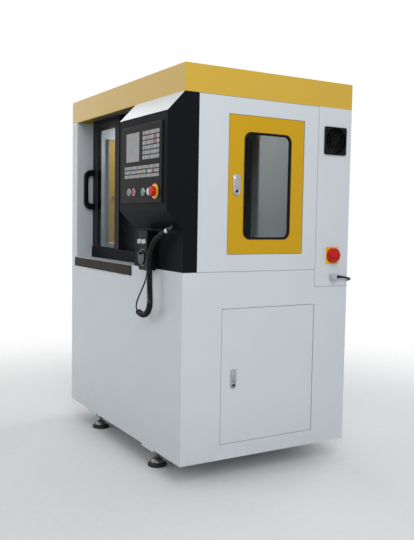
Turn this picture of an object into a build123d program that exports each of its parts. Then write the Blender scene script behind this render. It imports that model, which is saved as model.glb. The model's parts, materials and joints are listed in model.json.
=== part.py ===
from build123d import *
import os
from math import cos, pi, radians, sin, sqrt, tan

os.makedirs("parts", exist_ok=True)

# Enclosed bench-size machining centre. The origin is on the floor, at the middle of the four feet.
# X runs to the right along the front, Y from the front to the back, Z up. All sizes are millimetres.

# Cabinet envelope
cabinet_width = 1254.0
cabinet_depth = 847.0
overall_height = 1690.0
foot_height = 90.0
base_height = 782.0
roof_height = 110.0
sheet = 2.0
play = 0.3

# Electrical cabinet at the back, which starts lower than the work area
electrical_depth = 185.0
electrical_step = 76.0

# Base cabinet
skirt_height = 30.0
runner_width = 112.0
runner_drop = 10.0
runner_wall = 4.0
foot_spacing_x = 654.0
foot_inset_y = 50.0
deck_front = 130.0
deck_side = 40.0
deck_rear = 22.0
beam_size = 60.0
beam_wall = 4.0
beam_spacing = 240.0
sill_width = 720.0
sill_height = 45.0
sill_thickness = 4.0
sill_left = 52.0
sill_drop = 2.0
sill_screw_radius = 4.0
sill_screw_rise = 1.5
sill_screw_inset = 14.0

# Levelling feet
pad_radius = 42.0
pad_edge = 10.0
pad_height = 18.0
dome_radius = 30.0
dome_height = 20.0
dome_shoulder_out = 0.72
dome_shoulder_up = 0.62
stem_radius = 8.0
stem_above_runner = 18.0
nut_across_flats = 26.0
nut_height = 10.0

# Chip tray and coolant tank
tray_depth = 30.0
tray_rim = 10.0
tray_play = 3.0
drain_radius = 20.0
tank_width = 500.0
tank_length = 420.0
tank_height = 230.0
tank_x = 250.0
tank_rim = 12.0
pump_radius = 48.0
pump_height = 150.0
pump_edge_radius = 12.0
pump_pipe_radius = 12.0
pump_pipe_height = 50.0

# Hinged doors: folded pans that lie flush in a jamb
door_gap = 2.0
door_depth = 20.0
jamb_depth = 22.0
hinge_inset = 4.0
hinge_pin_radius = 2.5
hinge_pin_play = 0.05
window_door_width = 380.0
window_door_height = 565.0
window_door_inset = 77.0
window_door_sill = 72.0
lower_door_width = 475.0
lower_door_height = 562.0
lower_door_sill = 66.0
rear_door_width = 1150.0
rear_door_height = 700.0
rear_door_sill = 42.0

# Window of the side doors with its rubber profile
window_width = 240.0
window_height = 442.0
window_radius = 34.0
window_sill = 59.0
window_from_free_edge = 73.0
gasket_band = 10.0
gasket_grip = 5.0
gasket_rise = 3.0
gasket_back = 10.0
pane_thickness = 4.0
pane_bite = 4.0

# Door latches: a plate with a push button that carries the key slot
latch_width = 37.0
latch_height = 88.0
latch_rise = 3.0
latch_edge_radius = 1.2
latch_from_free_edge = 39.0
lower_latch_width = 28.0
lower_latch_height = 80.0
lower_latch_from_free_edge = 59.0
lower_latch_above_middle = 12.0
latch_button_radius = 10.0
latch_button_rise = 2.0
latch_button_length = 14.0
latch_button_travel = 4.0
latch_wall = 3.0
key_slot_length = 8.0
key_slot_width = 2.0
key_slot_depth = 2.0

# Front recess with its sliding door
column_width = 72.0
recess_depth = 88.0
leaf_width = 346.0
leaf_depth = 22.0
leaf_gap = 1.5
leaf_lift = 10.0
leaf_above_roof_edge = 7.0
leaf_left_stile = 67.0
leaf_right_stile = 52.0
leaf_bottom_rail = 45.0
leaf_top_rail = 43.0
leaf_window_radius = 25.0
leaf_pane_thickness = 5.0
leaf_pane_lap = 12.0
frame_setback = 118.0
frame_edge_left = 12.0
frame_edge_right = 32.0
frame_return = 15.0
upper_track_width = 38.0
upper_track_height = 22.0
upper_track_lift = 10.0
track_wall = 2.5
track_slot = 9.0
glide_length = 50.0
glide_head_width = 24.0
glide_head_height = 8.0
glide_inset = 60.0
lower_track_front = 55.0
lower_track_rear = 20.0
lower_track_front_gap = 2.0
handle_height = 214.0
handle_reach = 55.0
handle_width = 24.0
handle_bar = 20.0
handle_foot = 33.0
handle_shoulder = 8.0
handle_edge_radius = 5.0
handle_radius = 38.0
handle_middle_above_base = 358.0
handle_inset = 16.0

# Console on the right front corner
console_width = 447.0
console_reach = 75.0
console_back = 65.0
console_facet_top = 242.0
console_facet_bottom = 168.0
console_slope_height = 80.0
cap_thickness = 2.7

# Control unit on the console
unit_width = 383.0
unit_height = 320.0
unit_right = 34.0
unit_lift = 32.0
unit_rise = 6.0
unit_depth = 60.0
unit_box_margin = 10.0
unit_edge_radius = 3.0
screen_width = 134.0
screen_height = 120.0
screen_left = 43.0
screen_top = 28.0
screen_recess = 4.0
screen_thickness = 2.5
keypad_columns = 6
keypad_rows = 6
keypad_width = 153.0
keypad_height = 118.0
keypad_right = 21.0
keypad_top = 28.0
strip_columns = 16
strip_rows = 3
strip_width = 328.0
strip_height = 53.0
strip_top = 165.0
key_sheet = 1.0
key_rise = 1.6
key_gap = 5.0
key_recess = 1.5
button_line = 46.0
button_radius = 11.0
button_rise = 6.0
button_length = 20.0
button_travel = 4.0
button_edge_radius = 1.5
ring_radius = 14.5
ring_rise = 2.5
start_from_left = 82.0
stop_from_left = 127.0
on_from_left = 219.0
off_from_left = 271.0
estop_from_left = 327.0
estop_plate_radius = 30.0
estop_plate_rise = 2.0
estop_head_radius = 20.0
estop_head_height = 14.0
estop_travel = 5.0
estop_head_gap = 1.0
estop_head_edge = 7.7
estop_stem_radius = 10.0

# Hand pendant on its holder at the console
pendant_width = 88.0
pendant_height = 168.0
pendant_depth = 42.0
pendant_waist = 4.0
pendant_radius = 10.0
pendant_from_right = 270.0
pendant_below_deck = 7.0
holder_width = 60.0
holder_height = 110.0
holder_thickness = 4.0
holder_radius = 6.0
dial_radius = 30.0
dial_thickness = 9.0
dial_edge_radius = 2.0
dial_up = 54.0
dial_shaft_radius = 5.0
spinner_radius = 6.0
spinner_height = 12.0
spinner_offset = 19.0
selector_radius = 10.0
selector_height = 13.0
selector_grip_width = 7.0
selector_grip_inset = 1.0
selector_up = 122.0
selector_spacing = 42.0
selector_shaft_radius = 4.0
shaft_depth = 14.0
running_play = 0.08

# Cable connector of the pendant on the console's lower facet
socket_radius = 13.0
socket_flange = 3.0
socket_length = 32.0
socket_body_radius = 11.7
socket_edge = 3.0
socket_from_right = 45.0
socket_down_facet = 76.0
elbow_radius = 10.5
elbow_start = 20.0
elbow_length = 34.0
elbow_droop = 20.0

# Ventilator in the electrical cabinet's right wall
fan_size = 120.0
fan_corner_radius = 6.0
fan_rise = 8.0
fan_inside = 30.0
fan_below_roof = 143.0
fan_bore_radius = 56.0
fan_hub_radius = 19.0
fan_hub_plate = 4.0
fan_strut = 5.0
fan_blades = 7
fan_blade_tip = 53.0
fan_blade_thickness = 2.0
fan_shaft_radius = 3.0
fan_rotor_gap = 1.0
fan_blade_share = 0.92
fan_root_sink = 1.5
fan_root_pitch = 52.0
fan_tip_pitch = 28.0
fan_hub_edge = 2.0
fan_strut_count = 3
fan_wire_lap = 1.0
guard_wire = 1.4
guard_ring_radii = (16.0, 29.0, 42.0)

# Main switch and cable gland
switch_plate_width = 66.0
switch_plate_height = 74.0
switch_plate_thickness = 4.0
switch_plate_radius = 3.0
switch_above_step = 138.0
switch_body = 48.0
switch_body_depth = 58.0
knob_radius = 32.0
knob_base_height = 19.0
knob_edge_radius = 3.0
knob_grip_width = 18.0
knob_grip_inset = 5.0
knob_grip_height = 7.0
knob_grip_edge = 2.5
knob_shaft_radius = 5.0
gland_above_step = 42.0
gland_nut_flats = 24.0
gland_nut_height = 5.0
gland_block = 22.0
gland_corner = 1.5
gland_reach = 16.0
gland_outlet_radius = 9.0
gland_outlet_length = 15.0
gland_outlet_edge = 2.0
cord_radius = 5.0

# Milling machine inside
mill_base_width = 320.0
mill_base_top_width = 240.0
mill_base_height = 120.0
mill_base_foot = 24.0
mill_front = 160.0
mill_rear = 30.0
spindle_from_front = 300.0
rail_width = 20.0
rail_height = 18.0
rail_play = 0.3
rail_spacing_y_axis = 170.0
rail_spacing_x_axis = 100.0
rail_spacing_z_axis = 140.0
carriage_gap = 6.0
screw_radius = 8.0
screw_trench_width = 46.0
screw_trench_depth = 34.0
nut_width = 38.0
nut_length = 40.0
nut_reach = 30.0
bearing_wall = 12.0
motor_size = 70.0
motor_length = 90.0
motor_corner = 6.0
saddle_width = 260.0
saddle_length = 160.0
saddle_height = 56.0
table_width = 560.0
table_length = 160.0
table_height = 50.0
t_slot_width = 12.0
t_slot_depth = 20.0
t_slot_foot_width = 20.0
t_slot_foot_height = 8.0
t_slot_spacing = 50.0
bracket_thickness = 12.0
bracket_width = 84.0
bracket_drop = 60.0
belt_cover_thickness = 14.0
belt_motor_side = 175.0
belt_motor_drop = 27.0
column_block_width = 340.0
column_block_depth = 165.0
column_block_height = 594.0
column_edge_radius = 18.0
column_rail_start = 180.0
column_panel_width = 90.0
column_panel_height = 130.0
column_panel_depth = 14.0
column_panel_pitch = 165.0
head_width = 180.0
head_above_base = 514.0
head_height = 164.0
head_reach = 75.0
head_chamfer = 45.0
spindle_sleeve_radius = 45.0
spindle_sleeve_length = 40.0
spindle_nose_radius = 32.0
spindle_nose_length = 16.0
spindle_shaft_radius = 20.0
spindle_shaft_length = 120.0
spindle_bore_radius = 8.0
spindle_bore_depth = 45.0
nose_key_width = 8.0
nose_key_length = 10.0
nose_key_height = 4.0
nose_key_inset = 10.0
spindle_motor_size = 110.0
spindle_motor_height = 104.0

# Tool magazine: disc with hanging holders on a carrier that slides along a beam
pocket_circle = 130.0
pocket_count = 8
disc_rest = 295.0
disc_radius = 140.0
disc_thickness = 12.0
disc_above_base = 373.0
disc_hub_radius = 24.0
disc_hub_height = 20.0
disc_shaft_radius = 12.0
holder_flange_radius = 20.0
holder_flange_height = 20.0
holder_taper_base = 14.0
holder_taper_top = 9.0
holder_taper_height = 30.0
holder_nose_radius = 14.0
holder_nose_length = 24.0
tool_radius = 5.0
tool_length = 34.0
carrier_width = 70.0
carrier_thickness = 18.0
carrier_height = 70.0
carrier_above_disc = 63.0
carrier_arm_height = 36.0
carrier_arm_front = 30.0
magazine_motor_edge = 5.0
magazine_motor_radius = 28.0
magazine_motor_height = 58.0
magazine_beam_reach = 480.0
magazine_beam_gap = 10.0
magazine_beam_depth = 32.0
magazine_beam_height = 60.0
magazine_rail_depth = 12.0

# Electrical mounting plate
plate_width = 1080.0
plate_height = 660.0
plate_thickness = 3.0
plate_standoff = 10.0
plate_bush_inset = 30.0
plate_bush_radius = 8.0
drive_width = 62.0
drive_height = 180.0
drive_depth = 110.0
drive_count = 3
drive_pitch = 110.0
drive_fins = 5
drive_fin_height = 144.0
drive_fin_depth = 11.0
transformer_width = 150.0
transformer_height = 120.0
transformer_depth = 100.0
din_rail_height = 35.0
din_rail_depth = 8.0
contactor_width = 45.0
contactor_height = 76.0
contactor_depth = 70.0
contactor_count = 5
contactor_pitch = 54.0

# Power cord, put away in a standing coil on the floor behind the cabinet, with its plug
coil_radius = 55.0
coil_band = 12.0
coil_turns = 4.25
coil_pitch = 10.5
coil_cover = 1.0
coil_from_right = 420.0
coil_behind = 90.0
coil_edge_radius = 4.0
tail_first = 34.0
tail_second = 66.0
tail_second_drop = 16.0
tail_third = 100.0
tail_length = 136.0
mains_start_length = 37.0
plug_width = 44.0
plug_length = 46.0
plug_height = 26.0
plug_neck_radius = 8.0
plug_neck_length = 22.0
plug_pin_length = 18.0
plug_pin_width = 6.5
plug_pin_thickness = 1.6
plug_corner_radius = 8.0
plug_pin_places = ((-9.0, -4.0), (9.0, -4.0), (0.0, 6.0))

# Curly pendant cord: outer size of the curls, and of the plain cord at its end
curl_radius = 14.0
lead_radius = 3.5
curl_start_length = 42.0
lead_start_length = 16.0
lead_entry_length = 24.0

# Places that follow from the sizes
side_x = cabinet_width / 2
front_y = -cabinet_depth / 2
rear_y = cabinet_depth / 2
base_bottom_z = foot_height
base_top_z = base_bottom_z + base_height
upper_height = overall_height - foot_height - base_height - roof_height
roof_bottom_z = base_top_z + upper_height
roof_top_z = roof_bottom_z + roof_height
floor_plate_z = base_bottom_z + skirt_height
electrical_front_y = rear_y - electrical_depth
electrical_mid_y = electrical_front_y + electrical_depth / 2
electrical_bottom_z = base_top_z - electrical_step
recess_x = -side_x + column_width
frame_y = front_y + frame_setback
console_left_x = side_x - console_width
console_front_y = front_y - console_reach
tray_floor_z = base_top_z - tray_depth + sheet


def level(z):
    """Level sketch plane at height z. Its x and y are the model's x and y."""
    return Plane.XY.offset(z)


def facing_front(y):
    """Upright sketch plane at depth y, facing the front. Its x and y are the model's x and z."""
    return Plane.XZ.offset(-y)


def facing_right(x):
    """Upright sketch plane at width x, facing right. Its x and y are the model's y and z."""
    return Plane.YZ.offset(x)


def facing_rear(y):
    """Upright sketch plane at depth y, facing the back. Its x is the model's -x and its y the model's z."""
    return Plane(origin=(0, y, 0), x_dir=(-1, 0, 0), z_dir=(0, 1, 0))


def rect(low_x, high_x, low_y, high_y, mode=Mode.ADD):
    """Rectangle of the current sketch between two corners."""
    with Locations(((low_x + high_x) / 2, (low_y + high_y) / 2)):
        Rectangle(high_x - low_x, high_y - low_y, mode=mode)


def grown(bounds, margin):
    """Bounds of a rectangle moved outwards by margin on all four sides."""
    low_x, high_x, low_y, high_y = bounds
    return low_x - margin, high_x + margin, low_y - margin, high_y + margin


def save(part, name):
    """Label a finished piece and write its file."""
    part.label = name
    export_step(part, f"parts/{name}.step")


class DoorPlace:
    """Where a hinged door lies on its wall: face plane, upright hinge and free edge, low and high edge."""

    def __init__(self, face, hinge, free, low, height):
        self.face = face
        self.hinge = hinge
        self.free = free
        self.low = low
        self.high = low + height
        self.inward = 1 if free > hinge else -1

    def bounds(self):
        """Bounds of the door's own outline in the face plane."""
        return min(self.hinge, self.free), max(self.hinge, self.free), self.low, self.high

    def doorway(self):
        """Bounds of the opening that the door lies in."""
        return grown(self.bounds(), door_gap)

    def hinge_point(self, height):
        """Point of the hinge axis at one height."""
        local = (self.hinge + self.inward * hinge_inset, height, -hinge_inset)
        return self.face.from_local_coords(Vector(*local))


window_door = DoorPlace(
    facing_right(side_x),
    electrical_front_y - window_door_inset,
    electrical_front_y - window_door_inset - window_door_width,
    base_top_z + window_door_sill,
    window_door_height,
)
lower_door_place = DoorPlace(
    facing_right(side_x),
    electrical_front_y,
    electrical_front_y - lower_door_width,
    base_bottom_z + lower_door_sill,
    lower_door_height,
)
rear_door_place = DoorPlace(
    facing_rear(rear_y),
    rear_door_width / 2,
    -rear_door_width / 2,
    electrical_bottom_z + rear_door_sill,
    rear_door_height,
)


def pin_holes(door):
    """Cut the two hinge pin holes of a door's jamb into the current part."""
    middle = (door.low + door.high) / 2
    reach = door.high - door.low + 2 * (door_gap + sheet)
    with Locations(door.hinge_point(middle)):
        Cylinder(hinge_pin_radius + hinge_pin_play, reach, mode=Mode.SUBTRACT)


def door_pan(door):
    """Folded pan of a hinged door with its two hinge pins, open towards the inside."""
    with BuildPart() as pan:
        with BuildSketch(door.face):
            rect(*door.bounds())
        extrude(amount=-door_depth)
        # The bend at the hinge edge is round about the hinge axis, so the door turns clear of its jamb
        middle = (door.low + door.high) / 2
        corner = door.face.from_local_coords(Vector(door.hinge, middle, 0))
        fillet(pan.edges().filter_by(Axis.Z).sort_by_distance(corner)[0], radius=hinge_inset)
        with BuildSketch(door.face.offset(-sheet)):
            rect(*grown(door.bounds(), -sheet))
        extrude(amount=-(door_depth - sheet), mode=Mode.SUBTRACT)
        with BuildSketch(Plane(door.hinge_point(door.high))):
            Circle(hinge_pin_radius)
        extrude(amount=door_gap + sheet)
        with BuildSketch(Plane(door.hinge_point(door.low))):
            Circle(hinge_pin_radius)
        extrude(amount=-(door_gap + sheet))
    return pan.part


def latch_seat(door, across, height, outline):
    """Latch plate on a door's face with the sleeve of its button. Returns the added part and the bore."""
    sleeve_length = latch_button_length + latch_button_travel
    bore_radius = latch_button_radius + play
    with BuildPart() as plate:
        with BuildSketch(door.face):
            with Locations((across, height)):
                add(outline)
        extrude(amount=latch_rise)
        top = plate.faces().sort_by(lambda face: door.face.to_local_coords(face.center()).Z)[-1]
        fillet(top.edges(), radius=latch_edge_radius)
        with BuildSketch(door.face):
            with Locations((across, height - latch_button_drop(outline))):
                Circle(bore_radius + latch_wall)
        extrude(amount=-sleeve_length)
    with BuildPart() as bore:
        with BuildSketch(door.face.offset(latch_rise)):
            with Locations((across, height - latch_button_drop(outline))):
                Circle(bore_radius)
        extrude(amount=-(latch_rise + sleeve_length - latch_wall))
    return plate.part, bore.part


def latch_button_drop(outline):
    """How far below the middle of its plate a latch button sits: level with the plate's round lower end."""
    size = outline.bounding_box().size
    return size.Y / 2 - size.X / 2


def latch_button(door, across, height, outline):
    """Push button of a latch with its key slot."""
    with BuildPart() as button:
        front = door.face.offset(latch_rise + latch_button_rise)
        with BuildSketch(front):
            with Locations((across, height - latch_button_drop(outline))):
                Circle(latch_button_radius)
        extrude(amount=-latch_button_length)
        with BuildSketch(front):
            with Locations((across, height - latch_button_drop(outline))):
                Rectangle(key_slot_width, key_slot_length)
        extrude(amount=-key_slot_depth, mode=Mode.SUBTRACT)
    return button.part


# Outlines of the latch plates: a pill, and a plate with a square top and a round lower end
with BuildSketch() as pill_outline:
    SlotOverall(latch_height, latch_width, rotation=90)
with BuildSketch() as arch_outline:
    SlotOverall(lower_latch_height, lower_latch_width, rotation=90)
    rect(-lower_latch_width / 2, lower_latch_width / 2, 0, lower_latch_height / 2)

window_latch_y = window_door.free + latch_from_free_edge
window_latch_z = (window_door.low + window_door.high) / 2
lower_latch_y = lower_door_place.free + lower_latch_from_free_edge
lower_latch_z = (lower_door_place.low + lower_door_place.high) / 2 - lower_latch_above_middle
rear_latch_x = rear_door_place.free + latch_from_free_edge
rear_latch_z = (rear_door_place.low + rear_door_place.high) / 2


# Base cabinet: welded sheet shell on two box runners, with beams that carry the milling machine
with BuildPart() as base_cabinet:
    with BuildSketch(facing_right(0)):
        Polygon(
            (front_y, base_bottom_z),
            (rear_y, base_bottom_z),
            (rear_y, electrical_bottom_z),
            (electrical_front_y, electrical_bottom_z),
            (electrical_front_y, base_top_z),
            (front_y, base_top_z),
            align=None,
        )
    extrude(amount=side_x, both=True)
    with BuildSketch(facing_right(0)):
        Polygon(
            (front_y + sheet, floor_plate_z),
            (rear_y - sheet, floor_plate_z),
            (rear_y - sheet, electrical_bottom_z - sheet),
            (electrical_front_y - sheet, electrical_bottom_z - sheet),
            (electrical_front_y - sheet, base_top_z - sheet),
            (front_y + sheet, base_top_z - sheet),
            align=None,
        )
    extrude(amount=side_x - sheet, both=True, mode=Mode.SUBTRACT)
    # Recess under the floor plate
    with BuildSketch(level(base_bottom_z)):
        rect(-side_x + sheet, side_x - sheet, front_y + sheet, rear_y - sheet)
    extrude(amount=skirt_height - sheet, mode=Mode.SUBTRACT)
    # Opening of the deck for the chip tray
    with BuildSketch(level(base_top_z - sheet)):
        rect(-side_x + deck_side, side_x - deck_side, front_y + deck_front, electrical_front_y - deck_rear)
    extrude(amount=sheet, mode=Mode.SUBTRACT)
    # Box runners under the floor plate, closed at both ends and flush with the front
    runner_bottom_z = base_bottom_z - runner_drop
    with BuildSketch(level(runner_bottom_z)):
        with GridLocations(foot_spacing_x, 1, 2, 1):
            Rectangle(runner_width, cabinet_depth)
    extrude(amount=runner_drop + skirt_height - sheet)
    with BuildSketch(level(runner_bottom_z + runner_wall)):
        with GridLocations(foot_spacing_x, 1, 2, 1):
            Rectangle(runner_width - 2 * runner_wall, cabinet_depth - 2 * runner_wall)
    extrude(amount=runner_drop + skirt_height - sheet - 2 * runner_wall, mode=Mode.SUBTRACT)
    # Stem holes of the levelling feet
    with BuildSketch(level(runner_bottom_z)):
        with GridLocations(foot_spacing_x, cabinet_depth - 2 * foot_inset_y, 2, 2):
            Circle(stem_radius + play)
    extrude(amount=runner_wall, mode=Mode.SUBTRACT)
    # Two square tubes from the front to the back wall carry the tray and the machine
    beam_top_z = base_top_z - tray_depth
    with BuildSketch(facing_front(front_y + sheet)):
        with GridLocations(beam_spacing, 1, 2, 1):
            with Locations((0, beam_top_z - beam_size / 2)):
                Rectangle(beam_size, beam_size)
                Rectangle(beam_size - 2 * beam_wall, beam_size - 2 * beam_wall, mode=Mode.SUBTRACT)
    extrude(amount=-(electrical_front_y - front_y - 2 * sheet))
    # Doorway on the right
    with BuildSketch(facing_right(side_x)):
        rect(*lower_door_place.doorway())
    extrude(amount=-sheet, mode=Mode.SUBTRACT)
    with BuildSketch(facing_right(side_x)):
        rect(*grown(lower_door_place.doorway(), sheet))
        rect(*lower_door_place.doorway(), mode=Mode.SUBTRACT)
    extrude(amount=-jamb_depth)
    pin_holes(lower_door_place)
save(base_cabinet.part, "base_cabinet")

# Levelling foot: rubber pad, steel dome on a threaded stem, lock nut under the runner
with BuildPart() as one_foot:
    with BuildSketch(Plane.XZ):
        with BuildLine():
            Polyline(
                (0, 0),
                (pad_radius, 0),
                (pad_radius, pad_edge),
                (dome_radius, pad_height),
            )
            ThreePointArc(
                (dome_radius, pad_height),
                (dome_radius * dome_shoulder_out, pad_height + dome_height * dome_shoulder_up),
                (stem_radius, pad_height + dome_height),
            )
            Polyline(
                (stem_radius, pad_height + dome_height),
                (stem_radius, runner_bottom_z + runner_wall + stem_above_runner),
                (0, runner_bottom_z + runner_wall + stem_above_runner),
                (0, 0),
            )
        make_face()
    revolve(axis=Axis.Z)
    with BuildSketch(level(runner_bottom_z - nut_height)):
        RegularPolygon(nut_across_flats / 2, 6, major_radius=False)
    extrude(amount=nut_height)
with BuildPart() as levelling_feet:
    with GridLocations(foot_spacing_x, cabinet_depth - 2 * foot_inset_y, 2, 2):
        add(one_foot.part)
save(levelling_feet.part, "levelling_feet")

# Chip tray: pan with a rim that lies on the deck
with BuildPart() as chip_tray:
    tray_bounds = (
        -side_x + deck_side + tray_play,
        side_x - deck_side - tray_play,
        front_y + deck_front + tray_play,
        electrical_front_y - deck_rear - tray_play,
    )
    with BuildSketch(level(base_top_z - tray_depth)):
        rect(*tray_bounds)
    extrude(amount=tray_depth + sheet)
    with BuildSketch(level(base_top_z)):
        rect(*grown(tray_bounds, tray_rim))
    extrude(amount=sheet)
    with BuildSketch(level(tray_floor_z)):
        rect(*grown(tray_bounds, -sheet))
    extrude(amount=tray_depth, mode=Mode.SUBTRACT)
    with BuildSketch(level(base_top_z - tray_depth)):
        with Locations((tank_x, front_y + deck_front + tray_rim + 2 * drain_radius)):
            Circle(drain_radius)
    extrude(amount=sheet, mode=Mode.SUBTRACT)
save(chip_tray.part, "chip_tray")

# Coolant tank with a rolled rim and its upright pump
with BuildPart() as coolant_tank:
    tank_y = (front_y + electrical_front_y) / 2
    with BuildSketch(level(floor_plate_z)):
        with Locations((tank_x, tank_y)):
            RectangleRounded(tank_width, tank_length, tank_rim)
    extrude(amount=tank_height)
    with BuildSketch(level(floor_plate_z + tank_height)):
        with Locations((tank_x, tank_y)):
            RectangleRounded(tank_width + 2 * tank_rim, tank_length + 2 * tank_rim, 2 * tank_rim)
    extrude(amount=tank_rim)
    pump_at = (tank_x + tank_width / 4, tank_y + tank_length / 4)
    with BuildSketch(level(floor_plate_z + tank_height + tank_rim)):
        with Locations(pump_at):
            Circle(pump_radius)
    extrude(amount=pump_height)
    fillet(coolant_tank.edges().group_by(Axis.Z)[-1], radius=pump_edge_radius)
    with BuildSketch(level(floor_plate_z + tank_height + tank_rim)):
        with Locations((pump_at[0] - 2 * pump_radius, pump_at[1])):
            Circle(pump_pipe_radius)
    extrude(amount=pump_pipe_height)
save(coolant_tank.part, "coolant_tank")

# Dark sill plate with its screws on the front of the base
with BuildPart() as sill_plate:
    sill_x0 = -side_x + sill_left
    sill_top_z = base_top_z - sill_drop
    with BuildSketch(facing_front(front_y)):
        rect(sill_x0, sill_x0 + sill_width, sill_top_z - sill_height, sill_top_z)
    extrude(amount=sill_thickness)
    with BuildSketch(facing_front(front_y - sill_thickness)):
        with Locations((sill_x0 + sill_width / 2, sill_top_z - sill_height / 2)):
            with GridLocations((sill_width - 2 * sill_screw_inset) / 2, sill_height / 2, 3, 2):
                Circle(sill_screw_radius)
    extrude(amount=sill_screw_rise)
save(sill_plate.part, "sill_plate")

# Right side panel of the work area
with BuildPart() as right_side_panel:
    with BuildSketch(level(base_top_z)):
        rect(side_x - sheet, side_x, front_y + console_back, electrical_front_y)
        rect(side_x - door_depth, side_x, front_y + console_back, front_y + console_back + sheet)
        rect(side_x - door_depth, side_x, electrical_front_y - sheet, electrical_front_y)
    extrude(amount=upper_height)
    with BuildSketch(facing_right(side_x)):
        rect(*window_door.doorway())
    extrude(amount=-sheet, mode=Mode.SUBTRACT)
    with BuildSketch(facing_right(side_x)):
        rect(*grown(window_door.doorway(), sheet))
        rect(*window_door.doorway(), mode=Mode.SUBTRACT)
    extrude(amount=-jamb_depth)
    pin_holes(window_door)
save(right_side_panel.part, "right_side_panel")

# Left side panel: outer wall, narrow front column and the side wall of the front recess.
# It is drawn on the right and mirrored, so its doorway is the right one's twin.
with BuildPart() as left_panel_twin:
    with BuildSketch(level(base_top_z)):
        rect(side_x - sheet, side_x, front_y, electrical_front_y)
        rect(-recess_x, side_x, front_y, front_y + sheet)
        rect(-recess_x, -recess_x + sheet, front_y, frame_y)
        rect(side_x - door_depth, side_x, electrical_front_y - sheet, electrical_front_y)
    extrude(amount=upper_height)
    with BuildSketch(facing_right(side_x)):
        rect(*window_door.doorway())
    extrude(amount=-sheet, mode=Mode.SUBTRACT)
    with BuildSketch(facing_right(side_x)):
        rect(*grown(window_door.doorway(), sheet))
        rect(*window_door.doorway(), mode=Mode.SUBTRACT)
    extrude(amount=-jamb_depth)
    pin_holes(window_door)
with BuildPart() as left_side_panel:
    mirror(left_panel_twin.part, about=Plane.YZ)
save(left_side_panel.part, "left_side_panel")

# Roof cap: deep pan with a hem at its lower edge and an inner wall over the front recess
with BuildPart() as roof_cap:
    with BuildSketch(level(roof_bottom_z)):
        Rectangle(cabinet_width, cabinet_depth)
    extrude(amount=roof_height)
    with BuildSketch(level(roof_bottom_z + sheet)):
        Rectangle(cabinet_width - 2 * sheet, cabinet_depth - 2 * sheet)
    extrude(amount=roof_height - 2 * sheet, mode=Mode.SUBTRACT)
    with BuildSketch(level(roof_bottom_z)):
        Rectangle(cabinet_width - 2 * frame_return, cabinet_depth - 2 * frame_return)
    extrude(amount=sheet, mode=Mode.SUBTRACT)
    with BuildSketch(level(roof_bottom_z)):
        rect(recess_x - sheet, recess_x, front_y + sheet, frame_y)
    extrude(amount=roof_height - sheet)
save(roof_cap.part, "roof_cap")

# Electrical cabinet across the back, open to its rear door
with BuildPart() as electrical_cabinet:
    with BuildSketch(level(electrical_bottom_z)):
        rect(-side_x, side_x, electrical_front_y, rear_y)
    extrude(amount=roof_bottom_z - electrical_bottom_z)
    with BuildSketch(level(electrical_bottom_z + sheet)):
        rect(-side_x + sheet, side_x - sheet, electrical_front_y + sheet, rear_y - sheet)
    extrude(amount=roof_bottom_z - electrical_bottom_z - 2 * sheet, mode=Mode.SUBTRACT)
    with BuildSketch(facing_rear(rear_y)):
        rect(*rear_door_place.doorway())
    extrude(amount=-sheet, mode=Mode.SUBTRACT)
    with BuildSketch(facing_rear(rear_y)):
        rect(*grown(rear_door_place.doorway(), sheet))
        rect(*rear_door_place.doorway(), mode=Mode.SUBTRACT)
    extrude(amount=-jamb_depth)
    pin_holes(rear_door_place)
    # Cut-outs for the ventilator and the main switch
    fan_z = roof_bottom_z - fan_below_roof
    switch_z = electrical_bottom_z + switch_above_step
    with BuildSketch(facing_right(side_x)):
        with Locations((electrical_mid_y, fan_z)):
            RectangleRounded(fan_size + 2 * play, fan_size + 2 * play, fan_corner_radius)
        with Locations((electrical_mid_y, switch_z)):
            Rectangle(switch_body + 2 * play, switch_body + 2 * play)
    extrude(amount=-sheet, mode=Mode.SUBTRACT)
    # Mounting plate with drives, transformer and contactors
    board_back_y = electrical_front_y + sheet + plate_standoff
    board_front_y = board_back_y + plate_thickness
    plate_mid_z = (electrical_bottom_z + roof_bottom_z) / 2
    with BuildSketch(facing_rear(board_front_y)):
        with Locations((0, plate_mid_z)):
            Rectangle(plate_width, plate_height)
    extrude(amount=-plate_thickness)
    # Stand-off bushes against the cabinet's front wall
    bush_spacing_x = plate_width - 2 * plate_bush_inset
    bush_spacing_z = plate_height - 2 * plate_bush_inset
    with BuildSketch(facing_rear(board_back_y)):
        with Locations((0, plate_mid_z)):
            with GridLocations(bush_spacing_x, bush_spacing_z, 2, 2):
                Circle(plate_bush_radius)
    extrude(amount=-plate_standoff)
    # Servo drives with cooling fins
    drives_z = plate_mid_z + plate_height / 4
    with BuildSketch(facing_rear(board_front_y)):
        with Locations((-plate_width / 4, drives_z)):
            with GridLocations(drive_pitch, 1, drive_count, 1):
                Rectangle(drive_width, drive_height)
    extrude(amount=drive_depth)
    with BuildSketch(facing_rear(board_front_y + drive_depth)):
        with Locations((-plate_width / 4, drives_z)):
            with GridLocations(drive_pitch, 1, drive_count, 1):
                with GridLocations(drive_width / drive_fins, 1, drive_fins - 1, 1):
                    Rectangle(drive_width / drive_fins / 2, drive_fin_height)
    extrude(amount=-drive_fin_depth, mode=Mode.SUBTRACT)
    with BuildSketch(facing_rear(board_front_y)):
        with Locations((plate_width / 3, plate_mid_z - plate_height / 4)):
            Rectangle(transformer_width, transformer_height)
    extrude(amount=transformer_depth)
    # Contactors on their rail
    contactors_z = plate_mid_z - plate_height / 8
    contactors_span = contactor_pitch * contactor_count
    with BuildSketch(facing_rear(board_front_y)):
        with Locations((-plate_width / 5, contactors_z)):
            Rectangle(contactors_span + 2 * contactor_width, din_rail_height)
    extrude(amount=din_rail_depth)
    with BuildSketch(facing_rear(board_front_y + din_rail_depth)):
        with Locations((-plate_width / 5, contactors_z)):
            with GridLocations(contactor_pitch, 1, contactor_count, 1):
                Rectangle(contactor_width, contactor_height)
    extrude(amount=contactor_depth)
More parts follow.
